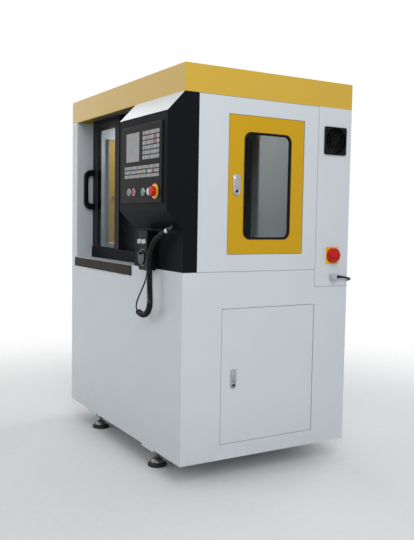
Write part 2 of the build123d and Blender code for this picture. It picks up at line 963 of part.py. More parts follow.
save(electrical_cabinet.part, "electrical_cabinet")

# Front frame behind the sliding door, with a folded edge around the work opening
with BuildPart() as front_frame:
    inner_x = side_x - sheet
    frame_opening = (
        recess_x + frame_edge_left,
        recess_x + leaf_gap + leaf_width - frame_edge_right,
        base_top_z + lower_track_front + play,
        roof_bottom_z + leaf_above_roof_edge - leaf_top_rail,
    )
    with BuildSketch(facing_front(frame_y)):
        rect(-inner_x, inner_x, base_top_z, roof_bottom_z)
        rect(-inner_x + frame_return, inner_x - frame_return, roof_bottom_z, roof_top_z - sheet)
        rect(*frame_opening, mode=Mode.SUBTRACT)
    extrude(amount=-sheet)
    with BuildSketch(facing_front(frame_y)):
        rect(*grown(frame_opening, sheet))
        rect(*frame_opening, mode=Mode.SUBTRACT)
    extrude(amount=-frame_return)
save(front_frame.part, "front_frame")

# Upper track: channel with a slot underneath that the door's glides hang in
leaf_front_y = front_y + recess_depth
leaf_mid_y = leaf_front_y + leaf_depth / 2
track_bottom_z = roof_bottom_z + upper_track_lift
with BuildPart() as upper_track:
    track_left_x = recess_x + 2 * leaf_gap
    with BuildSketch(facing_right(track_left_x)):
        rect(frame_y - upper_track_width, frame_y, track_bottom_z, track_bottom_z + upper_track_height)
        rect(
            frame_y - upper_track_width + track_wall,
            frame_y - track_wall,
            track_bottom_z + track_wall,
            track_bottom_z + upper_track_height - track_wall,
            mode=Mode.SUBTRACT,
        )
        rect(
            leaf_mid_y - track_slot / 2,
            leaf_mid_y + track_slot / 2,
            track_bottom_z,
            track_bottom_z + track_wall,
            mode=Mode.SUBTRACT,
        )
    extrude(amount=side_x - sheet - track_left_x)
save(upper_track.part, "upper_track")

# Lower track: channel on the deck with a tall front flange
with BuildPart() as lower_track:
    track_front_y = leaf_front_y - lower_track_front_gap - sheet
    with BuildSketch(facing_right(recess_x)):
        rect(track_front_y, frame_y, base_top_z, base_top_z + sheet)
        rect(track_front_y, track_front_y + sheet, base_top_z, base_top_z + lower_track_front)
        rect(frame_y - sheet, frame_y, base_top_z, base_top_z + lower_track_rear)
    extrude(amount=side_x - sheet - recess_x)
save(lower_track.part, "lower_track")

# Sliding door leaf: folded pan with a window and two glides in the upper track
leaf_left_x = recess_x + leaf_gap
leaf_right_x = leaf_left_x + leaf_width
leaf_low_z = base_top_z + leaf_lift
leaf_high_z = roof_bottom_z + leaf_above_roof_edge
leaf_bounds = (leaf_left_x, leaf_right_x, leaf_low_z, leaf_high_z)
leaf_window = (
    leaf_left_x + leaf_left_stile,
    leaf_right_x - leaf_right_stile,
    leaf_low_z + leaf_bottom_rail,
    leaf_high_z - leaf_top_rail,
)


def rounded(bounds, radius, mode=Mode.ADD):
    """Round-cornered rectangle of the current sketch between two corners."""
    low_x, high_x, low_y, high_y = bounds
    with Locations(((low_x + high_x) / 2, (low_y + high_y) / 2)):
        RectangleRounded(high_x - low_x, high_y - low_y, radius, mode=mode)


with BuildPart() as sliding_door:
    with BuildSketch(facing_front(leaf_front_y)):
        rect(*leaf_bounds)
    extrude(amount=-leaf_depth)
    with BuildSketch(facing_front(leaf_front_y + sheet)):
        rect(*grown(leaf_bounds, -sheet))
    extrude(amount=-(leaf_depth - sheet), mode=Mode.SUBTRACT)
    with BuildSketch(facing_front(leaf_front_y)):
        rounded(leaf_window, leaf_window_radius)
    extrude(amount=-sheet, mode=Mode.SUBTRACT)
    glide_z = track_bottom_z + track_wall + play
    glide_mid_x = (leaf_left_x + leaf_right_x) / 2
    with BuildSketch(facing_right(glide_mid_x)):
        rect(leaf_mid_y - track_slot / 2 + play, leaf_mid_y + track_slot / 2 - play, leaf_high_z, glide_z)
        with Locations((leaf_mid_y, glide_z + glide_head_height / 2)):
            Rectangle(glide_head_width, glide_head_height)
    with Locations((-leaf_width / 2 + glide_inset, 0, 0), (leaf_width / 2 - glide_inset, 0, 0)):
        extrude(amount=glide_length / 2, both=True)
save(sliding_door.part, "sliding_door")

# Pane behind the window of the sliding door
with BuildPart() as sliding_pane:
    with BuildSketch(facing_front(leaf_front_y + sheet)):
        rounded(grown(leaf_window, leaf_pane_lap), leaf_window_radius)
    extrude(amount=-leaf_pane_thickness)
save(sliding_pane.part, "sliding_pane")

# Bow handle of the sliding door: round-cornered bow with long feet
with BuildPart() as sliding_handle:
    handle_x = leaf_left_x + handle_inset
    handle_mid_z = base_top_z + handle_middle_above_base
    handle_low_z = handle_mid_z - handle_height / 2
    handle_high_z = handle_mid_z + handle_height / 2
    handle_out_y = leaf_front_y - handle_reach
    with BuildSketch(facing_right(handle_x)):
        with BuildLine():
            FilletPolyline(
                (leaf_front_y, handle_low_z),
                (handle_out_y, handle_low_z + handle_shoulder),
                (handle_out_y, handle_high_z - handle_shoulder),
                (leaf_front_y, handle_high_z),
                radius=handle_radius,
            )
            Polyline(
                (leaf_front_y, handle_high_z),
                (leaf_front_y, handle_high_z - handle_foot),
            )
            FilletPolyline(
                (leaf_front_y, handle_high_z - handle_foot),
                (handle_out_y + handle_bar, handle_high_z - handle_foot),
                (handle_out_y + handle_bar, handle_low_z + handle_foot),
                (leaf_front_y, handle_low_z + handle_foot),
                radius=handle_radius - handle_bar,
            )
            Polyline(
                (leaf_front_y, handle_low_z + handle_foot),
                (leaf_front_y, handle_low_z),
            )
        make_face()
    extrude(amount=handle_width / 2, both=True)
    bow_sides = sliding_handle.faces().filter_by(Axis.X)
    rim = bow_sides.edges().filter_by(lambda edge: edge.center().Y < leaf_front_y - 1)
    fillet(rim, radius=handle_edge_radius)
save(sliding_handle.part, "sliding_handle")


def window_door_part(door):
    """Side door: folded pan with the window cut-out and the latch plate."""
    across = door.free + latch_from_free_edge
    height = (door.low + door.high) / 2
    plate, bore = latch_seat(door, across, height, pill_outline.sketch)
    with BuildPart() as leaf:
        add(door_pan(door))
        with BuildSketch(door.face):
            with Locations(window_centre(door)):
                RectangleRounded(
                    window_width - 2 * gasket_grip,
                    window_height - 2 * gasket_grip,
                    window_radius - gasket_grip,
                )
        extrude(amount=-sheet, mode=Mode.SUBTRACT)
        add(plate)
        add(bore, mode=Mode.SUBTRACT)
    return leaf.part


def window_centre(door):
    """Middle of a side door's window in the face plane."""
    return (
        door.free + window_from_free_edge + window_width / 2,
        door.low + window_sill + window_height / 2,
    )


def window_gasket(door):
    """Rubber profile that grips the sheet with two lips and holds the pane in a groove."""
    inner = (window_width - 2 * gasket_band, window_height - 2 * gasket_band, window_radius - gasket_band)
    with BuildPart() as profile:
        with BuildSketch(door.face):
            with Locations(window_centre(door)):
                RectangleRounded(window_width, window_height, window_radius)
        extrude(amount=gasket_rise)
        lip = profile.faces().sort_by(lambda face: door.face.to_local_coords(face.center()).Z)[-1]
        fillet(lip.edges(), radius=gasket_rise / 2)
        with BuildSketch(door.face):
            with Locations(window_centre(door)):
                RectangleRounded(
                    window_width - 2 * gasket_grip,
                    window_height - 2 * gasket_grip,
                    window_radius - gasket_grip,
                )
        extrude(amount=-sheet)
        with BuildSketch(door.face.offset(-sheet)):
            with Locations(window_centre(door)):
                RectangleRounded(window_width, window_height, window_radius)
        extrude(amount=-(gasket_back - sheet))
        with BuildSketch(door.face.offset(gasket_rise)):
            with Locations(window_centre(door)):
                RectangleRounded(*inner)
        extrude(amount=-(gasket_rise + gasket_back), mode=Mode.SUBTRACT)
        with BuildSketch(door.face.offset(-(gasket_back - pane_thickness) / 2 - sheet / 2)):
            with Locations(window_centre(door)):
                RectangleRounded(inner[0] + 2 * pane_bite, inner[1] + 2 * pane_bite, inner[2] + pane_bite)
        extrude(amount=-pane_thickness, mode=Mode.SUBTRACT)
    return profile.part


def window_pane(door):
    """Clear pane that sits in the groove of the rubber profile."""
    with BuildPart() as pane:
        with BuildSketch(door.face.offset(-(gasket_back - pane_thickness) / 2 - sheet / 2)):
            with Locations(window_centre(door)):
                RectangleRounded(
                    window_width - 2 * gasket_band + 2 * pane_bite,
                    window_height - 2 * gasket_band + 2 * pane_bite,
                    window_radius - gasket_band + pane_bite,
                )
        extrude(amount=-pane_thickness)
    return pane.part


# Right window door, and its mirror image on the left
right_pieces = {
    "door": window_door_part(window_door),
    "gasket": window_gasket(window_door),
    "pane": window_pane(window_door),
    "latch_button": latch_button(window_door, window_latch_y, window_latch_z, pill_outline.sketch),
}
for piece_name, piece in right_pieces.items():
    save(piece, f"right_{piece_name}")
    with BuildPart() as mirrored:
        mirror(piece, about=Plane.YZ)
    save(mirrored.part, f"left_{piece_name}")

# Lower door on the right, in front of the coolant tank
with BuildPart() as lower_door:
    add(door_pan(lower_door_place))
    seat, seat_bore = latch_seat(lower_door_place, lower_latch_y, lower_latch_z, arch_outline.sketch)
    add(seat)
    add(seat_bore, mode=Mode.SUBTRACT)
save(lower_door.part, "lower_door")
save(
    latch_button(lower_door_place, lower_latch_y, lower_latch_z, arch_outline.sketch),
    "lower_latch_button",
)

# Rear door of the electrical cabinet
with BuildPart() as rear_door:
    add(door_pan(rear_door_place))
    seat, seat_bore = latch_seat(rear_door_place, rear_latch_x, rear_latch_z, pill_outline.sketch)
    add(seat)
    add(seat_bore, mode=Mode.SUBTRACT)
save(rear_door.part, "rear_door")
save(
    latch_button(rear_door_place, rear_latch_x, rear_latch_z, pill_outline.sketch),
    "rear_latch_button",
)

# Console housing: folded shell with a sloped top, a leaning lower facet and an upright foot
facet_top_z = base_top_z + console_facet_top
facet_bottom_z = base_top_z + console_facet_bottom
console_slope_z = roof_bottom_z - console_slope_height
console_outline = (
    (front_y + console_back, base_top_z),
    (front_y, base_top_z),
    (front_y, facet_bottom_z),
    (console_front_y, facet_top_z),
    (console_front_y, console_slope_z),
    (front_y, roof_bottom_z),
    (front_y + console_back, roof_bottom_z),
)
unit_x1 = side_x - unit_right
unit_x0 = unit_x1 - unit_width
unit_z0 = facet_top_z + unit_lift
unit_z1 = unit_z0 + unit_height
unit_front = facing_front(console_front_y - unit_rise)
pendant_x = side_x - pendant_from_right
pendant_bottom_z = base_top_z - pendant_below_deck
pendant_back_y = front_y - holder_thickness
with BuildPart() as console_housing:
    with BuildSketch(facing_right(console_left_x)):
        Polygon(*console_outline, align=None)
    extrude(amount=console_width)
    with BuildSketch(facing_right(console_left_x + sheet)):
        Polygon(*console_outline, align=None)
        offset(amount=-sheet, kind=Kind.INTERSECTION, mode=Mode.REPLACE)
    extrude(amount=console_width - 2 * sheet, mode=Mode.SUBTRACT)
    with BuildSketch(facing_front(console_front_y)):
        rect(*grown((unit_x0, unit_x1, unit_z0, unit_z1), play - unit_box_margin))
    extrude(amount=-sheet, mode=Mode.SUBTRACT)
    # Steel plate that the pendant hangs on
    with BuildSketch(facing_front(front_y)):
        with Locations((pendant_x, pendant_bottom_z + pendant_height / 2 + pendant_below_deck)):
            RectangleRounded(holder_width, holder_height, holder_radius)
    extrude(amount=holder_thickness)
save(console_housing.part, "console_housing")

# Pale cap over the sloped top of the console
with BuildPart() as console_cap:
    with BuildSketch(facing_right(console_left_x)):
        Polygon(
            (console_front_y, console_slope_z),
            (front_y, roof_bottom_z),
            (front_y - cap_thickness, roof_bottom_z),
            (console_front_y - cap_thickness, console_slope_z),
            align=None,
        )
    extrude(amount=console_width)
save(console_cap.part, "console_cap")

# Control unit: bezel with recesses, bored bosses for the buttons, and its box inside the console
button_z = unit_z0 + button_line
button_places = {
    "start_button": unit_x0 + start_from_left,
    "stop_button": unit_x0 + stop_from_left,
    "power_on_button": unit_x0 + on_from_left,
    "power_off_button": unit_x0 + off_from_left,
}
estop_x = unit_x0 + estop_from_left
screen_bounds = (
    unit_x0 + screen_left,
    unit_x0 + screen_left + screen_width,
    unit_z1 - screen_top - screen_height,
    unit_z1 - screen_top,
)
keypad_bounds = (
    unit_x1 - keypad_right - keypad_width,
    unit_x1 - keypad_right,
    unit_z1 - keypad_top - keypad_height,
    unit_z1 - keypad_top,
)
strip_bounds = (
    unit_x1 - keypad_right - strip_width,
    unit_x1 - keypad_right,
    unit_z1 - strip_top - strip_height,
    unit_z1 - strip_top,
)
with BuildPart() as control_unit:
    with BuildSketch(facing_front(console_front_y)):
        rect(unit_x0, unit_x1, unit_z0, unit_z1)
    extrude(amount=unit_rise)
    fillet(control_unit.faces().sort_by(Axis.Y)[0].edges(), radius=unit_edge_radius)
    with BuildSketch(facing_front(console_front_y)):
        rect(*grown((unit_x0, unit_x1, unit_z0, unit_z1), -unit_box_margin))
    extrude(amount=-unit_depth)
    with BuildSketch(unit_front):
        rect(*grown(screen_bounds, play))
    extrude(amount=-screen_recess, mode=Mode.SUBTRACT)
    with BuildSketch(unit_front):
        rect(*grown(keypad_bounds, play))
        rect(*grown(strip_bounds, play))
    extrude(amount=-key_recess, mode=Mode.SUBTRACT)
    with BuildSketch(unit_front):
        with Locations(*[(x, button_z) for x in button_places.values()]):
            Circle(ring_radius)
    extrude(amount=ring_rise)
    with BuildSketch(unit_front):
        with Locations((estop_x, button_z)):
            Circle(estop_plate_radius)
    extrude(amount=estop_plate_rise)
    with BuildSketch(unit_front.offset(ring_rise)):
        with Locations(*[(x, button_z) for x in button_places.values()]):
            Circle(button_radius + play)
        with Locations((estop_x, button_z)):
            Circle(estop_stem_radius + play)
    extrude(amount=-(ring_rise + button_length + button_travel + play), mode=Mode.SUBTRACT)
save(control_unit.part, "control_unit")

# Screen in its recess
with BuildPart() as screen:
    with BuildSketch(unit_front.offset(-screen_recess)):
        rect(*screen_bounds)
    extrude(amount=screen_thickness)
save(screen.part, "screen")


def key_grid(bounds, columns, rows):
    """Evenly spaced keys of the current sketch inside a field."""
    low_x, high_x, low_y, high_y = bounds
    pitch_x = (high_x - low_x) / columns
    pitch_y = (high_y - low_y) / rows
    with Locations(((low_x + high_x) / 2, (low_y + high_y) / 2)):
        with GridLocations(pitch_x, pitch_y, columns, rows):
            Rectangle(pitch_x - key_gap, pitch_y - key_gap)


# Key mats: a keypad beside the screen and a long strip under both
with BuildPart() as keypad:
    with BuildSketch(unit_front.offset(-key_recess)):
        rect(*keypad_bounds)
        rect(*strip_bounds)
    extrude(amount=key_sheet)
    with BuildSketch(unit_front.offset(key_sheet - key_recess)):
        key_grid(keypad_bounds, keypad_columns, keypad_rows)
        key_grid(strip_bounds, strip_columns, strip_rows)
    extrude(amount=key_rise)
save(keypad.part, "keypad")

# Push buttons of the control unit
for button_name, button_x in button_places.items():
    with BuildPart() as button:
        with BuildSketch(unit_front.offset(button_rise)):
            with Locations((button_x, button_z)):
                Circle(button_radius)
        extrude(amount=-(button_rise + button_length))
        fillet(button.faces().sort_by(Axis.Y)[0].edges(), radius=button_edge_radius)
    save(button.part, button_name)

# Emergency stop: mushroom head on its stem
with BuildPart() as estop_button:
    with BuildSketch(unit_front.offset(estop_plate_rise + estop_travel + estop_head_gap)):
        with Locations((estop_x, button_z)):
            Circle(estop_head_radius)
    extrude(amount=estop_head_height)
    fillet(estop_button.faces().sort_by(Axis.Y)[0].edges(), radius=estop_head_edge)
    with BuildSketch(unit_front.offset(-button_length + button_travel)):
        with Locations((estop_x, button_z)):
            Circle(estop_stem_radius)
    extrude(amount=button_length - button_travel + estop_plate_rise + estop_travel + estop_head_gap)
save(estop_button.part, "estop_button")

# Hand pendant: waisted housing with bores for the dial and two selector knobs
pendant_front_y = pendant_back_y - pendant_depth
pendant_front = facing_front(pendant_front_y)
pendant_top_z = pendant_bottom_z + pendant_height
pendant_mid_z = (pendant_bottom_z + pendant_top_z) / 2
half_pendant = pendant_width / 2
dial_z = pendant_bottom_z + dial_up
selector_z = pendant_bottom_z + selector_up
selector_xs = {
    "pendant_axis_knob": pendant_x - selector_spacing / 2,
    "pendant_rate_knob": pendant_x + selector_spacing / 2,
}
with BuildPart() as pendant_body:
    with BuildSketch(facing_front(pendant_back_y)):
        with BuildLine():
            Line((pendant_x - half_pendant, pendant_bottom_z), (pendant_x + half_pendant, pendant_bottom_z))
            ThreePointArc(
                (pendant_x + half_pendant, pendant_bottom_z),
                (pendant_x + half_pendant - pendant_waist, pendant_mid_z),
                (pendant_x + half_pendant, pendant_top_z),
            )
            Line((pendant_x + half_pendant, pendant_top_z), (pendant_x - half_pendant, pendant_top_z))
            ThreePointArc(
                (pendant_x - half_pendant, pendant_top_z),
                (pendant_x - half_pendant + pendant_waist, pendant_mid_z),
                (pendant_x - half_pendant, pendant_bottom_z),
            )
        make_face()
    extrude(amount=pendant_depth)
    fillet(pendant_body.edges().filter_by(Axis.Y), radius=pendant_radius)
    fillet(pendant_body.faces().sort_by(Axis.Y)[0].edges(), radius=pendant_radius / 2)
    with BuildSketch(pendant_front):
        with Locations((pendant_x, dial_z)):
            Circle(dial_shaft_radius + running_play)
        with Locations(*[(x, selector_z) for x in selector_xs.values()]):
            Circle(selector_shaft_radius + running_play)
    extrude(amount=-(shaft_depth + play), mode=Mode.SUBTRACT)
save(pendant_body.part, "pendant_body")

# Jog dial of the pendant with its spinner knob
with BuildPart() as pendant_dial:
    with BuildSketch(pendant_front.offset(play)):
        with Locations((pendant_x, dial_z)):
            Circle(dial_radius)
    extrude(amount=dial_thickness)
    fillet(pendant_dial.faces().sort_by(Axis.Y)[0].edges(), radius=dial_edge_radius)
    with BuildSketch(pendant_front.offset(-shaft_depth)):
        with Locations((pendant_x, dial_z)):
            Circle(dial_shaft_radius)
    extrude(amount=shaft_depth + play)
    with BuildSketch(pendant_front.offset(play + dial_thickness)):
        with Locations((pendant_x, dial_z + spinner_offset)):
            Circle(spinner_radius)
    extrude(amount=spinner_height)
save(pendant_dial.part, "pendant_dial")

# Axis and rate selectors of the pendant
for knob_name, knob_x in selector_xs.items():
    with BuildPart() as selector:
        with BuildSketch(pendant_front.offset(play)):
            with Locations((knob_x, selector_z)):
                Circle(selector_radius)
        extrude(amount=selector_height / 2)
        with BuildSketch(pendant_front.offset(play + selector_height / 2)):
            with Locations((knob_x, selector_z)):
                SlotOverall(2 * (selector_radius - selector_grip_inset), selector_grip_width, rotation=90)
        extrude(amount=selector_height / 2)
        with BuildSketch(pendant_front.offset(-shaft_depth)):
            with Locations((knob_x, selector_z)):
                Circle(selector_shaft_radius)
        extrude(amount=shaft_depth + play)
    save(selector.part, knob_name)

# Connector of the pendant's cord, square to the leaning facet
facet_drop = facet_top_z - facet_bottom_z
facet_length = sqrt(console_reach**2 + facet_drop**2)
facet_out = Vector(0, -facet_drop / facet_length, -console_reach / facet_length)
facet_down = Vector(0, console_reach / facet_length, -facet_drop / facet_length)
facet_start = Vector(side_x - socket_from_right, console_front_y, facet_top_z)
socket_foot = facet_start + facet_down * socket_down_facet
elbow_way = Vector(-cos(radians(elbow_droop)), 0, -sin(radians(elbow_droop)))
elbow_end = socket_foot + facet_out * elbow_start + elbow_way * elbow_length
with BuildPart() as pendant_socket:
    with BuildSketch(Plane(origin=socket_foot, x_dir=(1, 0, 0), z_dir=facet_out)):
        Circle(socket_radius)
    extrude(amount=socket_flange)
    with BuildSketch(Plane(origin=socket_foot, x_dir=(1, 0, 0), z_dir=facet_out)):
        Circle(socket_body_radius)
    extrude(amount=socket_length)
    chamfer(pendant_socket.faces().sort_by(Axis(socket_foot, facet_out))[-1].edges(), length=socket_edge)
    with BuildSketch(Plane(origin=elbow_end, z_dir=-elbow_way)):
        Circle(elbow_radius)
    extrude(amount=elbow_length)
save(pendant_socket.part, "pendant_socket")

# Ventilator: frame with bore, hub struts and finger guard
fan_face = facing_right(side_x)
fan_centre = (electrical_mid_y, fan_z)
with BuildPart() as fan_frame:
    with BuildSketch(fan_face.offset(fan_rise)):
        with Locations(fan_centre):
            RectangleRounded(fan_size, fan_size, fan_corner_radius)
            Circle(fan_bore_radius, mode=Mode.SUBTRACT)
    extrude(amount=-(fan_rise + fan_inside))
    with BuildSketch(fan_face.offset(-fan_inside)):
        with Locations(fan_centre):
            Circle(fan_hub_radius)
            with PolarLocations(fan_bore_radius / 2, fan_strut_count):
                Rectangle(fan_bore_radius + 2 * fan_wire_lap, fan_strut)
            Circle(fan_shaft_radius + running_play, mode=Mode.SUBTRACT)
    extrude(amount=fan_hub_plate)
    # Guard rings and cross wires just inside the front of the bore
    guard_plane = fan_face.offset(fan_rise - 2 * guard_wire)
    for ring in guard_ring_radii:
        with BuildSketch(guard_plane):
            with Locations(fan_centre):
                Circle(ring + guard_wire)
                Circle(ring - guard_wire, mode=Mode.SUBTRACT)
        extrude(amount=guard_wire)
    with BuildSketch(guard_plane):
        with Locations(fan_centre):
            for turn in (45, -45):
                Rectangle(2 * (fan_bore_radius + fan_wire_lap), 2 * guard_wire, rotation=turn)
    extrude(amount=guard_wire)
save(fan_frame.part, "fan_frame")

# Rotor with twisted blades
rotor_front = fan_rise - 4 * guard_wire
rotor_back = -fan_inside + fan_hub_plate + fan_rotor_gap
blade_chord = (rotor_front - rotor_back) * fan_blade_share
with BuildPart() as fan_blade:
    for radius, pitch in ((fan_hub_radius - fan_root_sink, fan_root_pitch), (fan_blade_tip, fan_tip_pitch)):
        with BuildSketch(Plane(origin=(radius, 0, 0), x_dir=(0, 1, 0), z_dir=(1, 0, 0))):
            Rectangle(blade_chord, fan_blade_thickness, rotation=pitch)
    loft()
rotor_place = Plane(
    origin=(side_x + (rotor_front + rotor_back) / 2, electrical_mid_y, fan_z),
    x_dir=(0, 1, 0),
    z_dir=(1, 0, 0),
)
with BuildPart() as fan_rotor:
    with BuildSketch(fan_face.offset(rotor_back)):
        with Locations(fan_centre):
            Circle(fan_hub_radius)
    extrude(amount=rotor_front - rotor_back)
    fillet(fan_rotor.faces().sort_by(Axis.X)[-1].edges(), radius=fan_hub_edge)
    with BuildSketch(fan_face.offset(-fan_inside + play)):
        with Locations(fan_centre):
            Circle(fan_shaft_radius)
    extrude(amount=fan_hub_plate + fan_rotor_gap)
    with Locations(rotor_place):
        with PolarLocations(0, fan_blades):
            add(fan_blade.part)
save(fan_rotor.part, "fan_rotor")

# Main switch: plate with the switch body behind the wall
switch_centre = (electrical_mid_y, switch_z)
with BuildPart() as main_switch_plate:
    with BuildSketch(fan_face):
        with Locations(switch_centre):
            RectangleRounded(switch_plate_width, switch_plate_height, switch_plate_radius)
    extrude(amount=switch_plate_thickness)
    with BuildSketch(fan_face):
        with Locations(switch_centre):
            Rectangle(switch_body, switch_body)
    extrude(amount=-switch_body_depth)
    with BuildSketch(fan_face.offset(switch_plate_thickness)):
        with Locations(switch_centre):
            Circle(knob_shaft_radius + running_play)
    extrude(amount=-(switch_plate_thickness + shaft_depth + play), mode=Mode.SUBTRACT)
save(main_switch_plate.part, "main_switch_plate")

# Round rotary knob with a raised grip bar
with BuildPart() as main_switch_knob:
    with BuildSketch(fan_face.offset(switch_plate_thickness + play)):
        with Locations(switch_centre):
            Circle(knob_radius)
    extrude(amount=knob_base_height)
    fillet(main_switch_knob.faces().sort_by(Axis.X)[-1].edges(), radius=knob_edge_radius)
    with BuildSketch(fan_face.offset(switch_plate_thickness + play + knob_base_height)):
        with Locations(switch_centre):
            SlotOverall(2 * (knob_radius - knob_grip_inset), knob_grip_width)
    extrude(amount=knob_grip_height)
    fillet(main_switch_knob.faces().sort_by(Axis.X)[-1].edges(), radius=knob_grip_edge)
    with BuildSketch(fan_face.offset(-shaft_depth)):
        with Locations(switch_centre):
            Circle(knob_shaft_radius)
    extrude(amount=shaft_depth + switch_plate_thickness + play)
save(main_switch_knob.part, "main_switch_knob")

# Elbow cable gland: hexagon on the wall, cast corner block and a round outlet that points to the back
gland_z = electrical_bottom_z + gland_above_step
gland_half = gland_block / 2
with BuildPart() as mains_gland:
    with BuildSketch(fan_face):
        with Locations((electrical_mid_y, gland_z)):
            RegularPolygon(gland_nut_flats / 2, 6, major_radius=False)
    extrude(amount=gland_nut_height)
    with BuildSketch(facing_right(side_x + gland_nut_height)):
        with Locations((electrical_mid_y, gland_z)):
            RectangleRounded(gland_block, gland_block, gland_corner)
    extrude(amount=gland_reach - gland_nut_height + gland_half)
    with BuildSketch(facing_rear(electrical_mid_y + gland_half)):
        with Locations((-side_x - gland_reach, gland_z)):
            Circle(gland_outlet_radius)
    extrude(amount=gland_outlet_length - gland_half)
    fillet(mains_gland.faces().sort_by(Axis.Y)[-1].edges(), radius=gland_outlet_edge)
save(mains_gland.part, "mains_gland")

# Bed of the milling machine: casting with a flared foot, two rails, a screw in its trench and a belt motor
spindle_y = front_y + spindle_from_front
bed_top_z = tray_floor_z + mill_base_height
bed_front_y = front_y + mill_front
bed_rear_y = electrical_front_y - mill_rear
column_front_y = bed_rear_y - column_block_depth
half_bed = mill_base_width / 2
half_bed_top = mill_base_top_width / 2
half_column = column_block_width / 2
bed_length = column_front_y - bed_front_y
y_screw_z = bed_top_z - screw_trench_depth / 2
belt_motor_z = y_screw_z - belt_motor_drop
with BuildPart() as mill_bed:
    with BuildSketch(facing_front(bed_front_y)):
        Polygon(
            (-half_bed, tray_floor_z),
            (half_bed, tray_floor_z),
            (half_bed, tray_floor_z + mill_base_foot),
            (half_bed_top, tray_floor_z + 2 * mill_base_foot),
            (half_bed_top, bed_top_z),
            (-half_bed_top, bed_top_z),
            (-half_bed_top, tray_floor_z + 2 * mill_base_foot),
            (-half_bed, tray_floor_z + mill_base_foot),
            align=None,
        )
    extrude(amount=-(bed_rear_y - bed_front_y))
    # Wide seat under the column
    with BuildSketch(level(tray_floor_z)):
        rect(-half_column, half_column, column_front_y, bed_rear_y)
    extrude(amount=mill_base_height)
    # Trench for the feed screw, then the screw between its two bearing walls
    with BuildSketch(level(bed_top_z - screw_trench_depth)):
        rect(
            -screw_trench_width / 2,
            screw_trench_width / 2,
            bed_front_y + bearing_wall,
            column_front_y - bearing_wall,
        )
    extrude(amount=screw_trench_depth, mode=Mode.SUBTRACT)
    with BuildSketch(facing_front(bed_front_y)):
        with Locations((0, y_screw_z)):
            Circle(screw_radius)
    extrude(amount=-bed_length)
    with BuildSketch(level(bed_top_z)):
        with Locations((0, (bed_front_y + column_front_y) / 2)):
            with GridLocations(rail_spacing_y_axis, 1, 2, 1):
                Rectangle(rail_width, bed_length - 2 * rail_play)
    extrude(amount=rail_height)
    # Belt cover across the front and the motor beside the bed
    with BuildSketch(facing_front(bed_front_y)):
        with BuildLine():
            cover_half = motor_size / 2
            FilletPolyline(
                (cover_half, y_screw_z + screw_trench_depth / 2),
                (-belt_motor_side - cover_half, y_screw_z + screw_trench_depth / 2),
                (-belt_motor_side - cover_half, belt_motor_z - cover_half),
                (cover_half, belt_motor_z - cover_half),
                radius=motor_corner,
                close=True,
            )
        make_face()
    extrude(amount=belt_cover_thickness)
    with BuildSketch(facing_front(bed_front_y)):
        with Locations((-belt_motor_side, belt_motor_z)):
            RectangleRounded(motor_size, motor_size, motor_corner)
    extrude(amount=-motor_length)
save(mill_bed.part, "mill_bed")

# Saddle: slides front to back on the bed and carries the nuts of both feed screws
saddle_bottom_z = bed_top_z + carriage_gap
saddle_top_z = saddle_bottom_z + saddle_height
x_screw_z = saddle_top_z - screw_trench_depth / 2
with BuildPart() as saddle:
    with BuildSketch(level(saddle_bottom_z)):
        with Locations((0, spindle_y)):
            RectangleRounded(saddle_width, saddle_length, motor_corner)
    extrude(amount=saddle_height)
    # Grooves over the bed's rails
    with BuildSketch(level(saddle_bottom_z)):
        with Locations((0, spindle_y)):
            with GridLocations(rail_spacing_y_axis, 1, 2, 1):
                Rectangle(rail_width + 2 * rail_play, saddle_length)
    extrude(amount=rail_height - carriage_gap + rail_play, mode=Mode.SUBTRACT)
    # Trench for the table's screw with the nut left standing in the middle
    trench_side = (saddle_width - nut_length) / 2
    with BuildSketch(level(saddle_top_z - screw_trench_depth)):
        with Locations((0, spindle_y)):
            with GridLocations(saddle_width - trench_side, 1, 2, 1):
                Rectangle(trench_side, screw_trench_width)
    extrude(amount=screw_trench_depth, mode=Mode.SUBTRACT)
    with BuildSketch(facing_right(0)):
        with Locations((spindle_y, x_screw_z)):
            Circle(screw_radius + play)
    extrude(amount=nut_length / 2, both=True, mode=Mode.SUBTRACT)
    # Nut that hangs into the bed's trench
    with BuildSketch(level(saddle_bottom_z)):
        with Locations((0, spindle_y)):
            Rectangle(nut_width, nut_length)
    extrude(amount=-(nut_reach + carriage_gap))
    with BuildSketch(facing_front(spindle_y)):
        with Locations((0, y_screw_z)):
            Circle(screw_radius + play)
    extrude(amount=nut_length / 2, both=True, mode=Mode.SUBTRACT)
    with BuildSketch(level(saddle_top_z)):
        with Locations((0, spindle_y)):
            with GridLocations(1, rail_spacing_x_axis, 1, 2):
                Rectangle(saddle_width, rail_width)
    extrude(amount=rail_height)
save(saddle.part, "saddle")

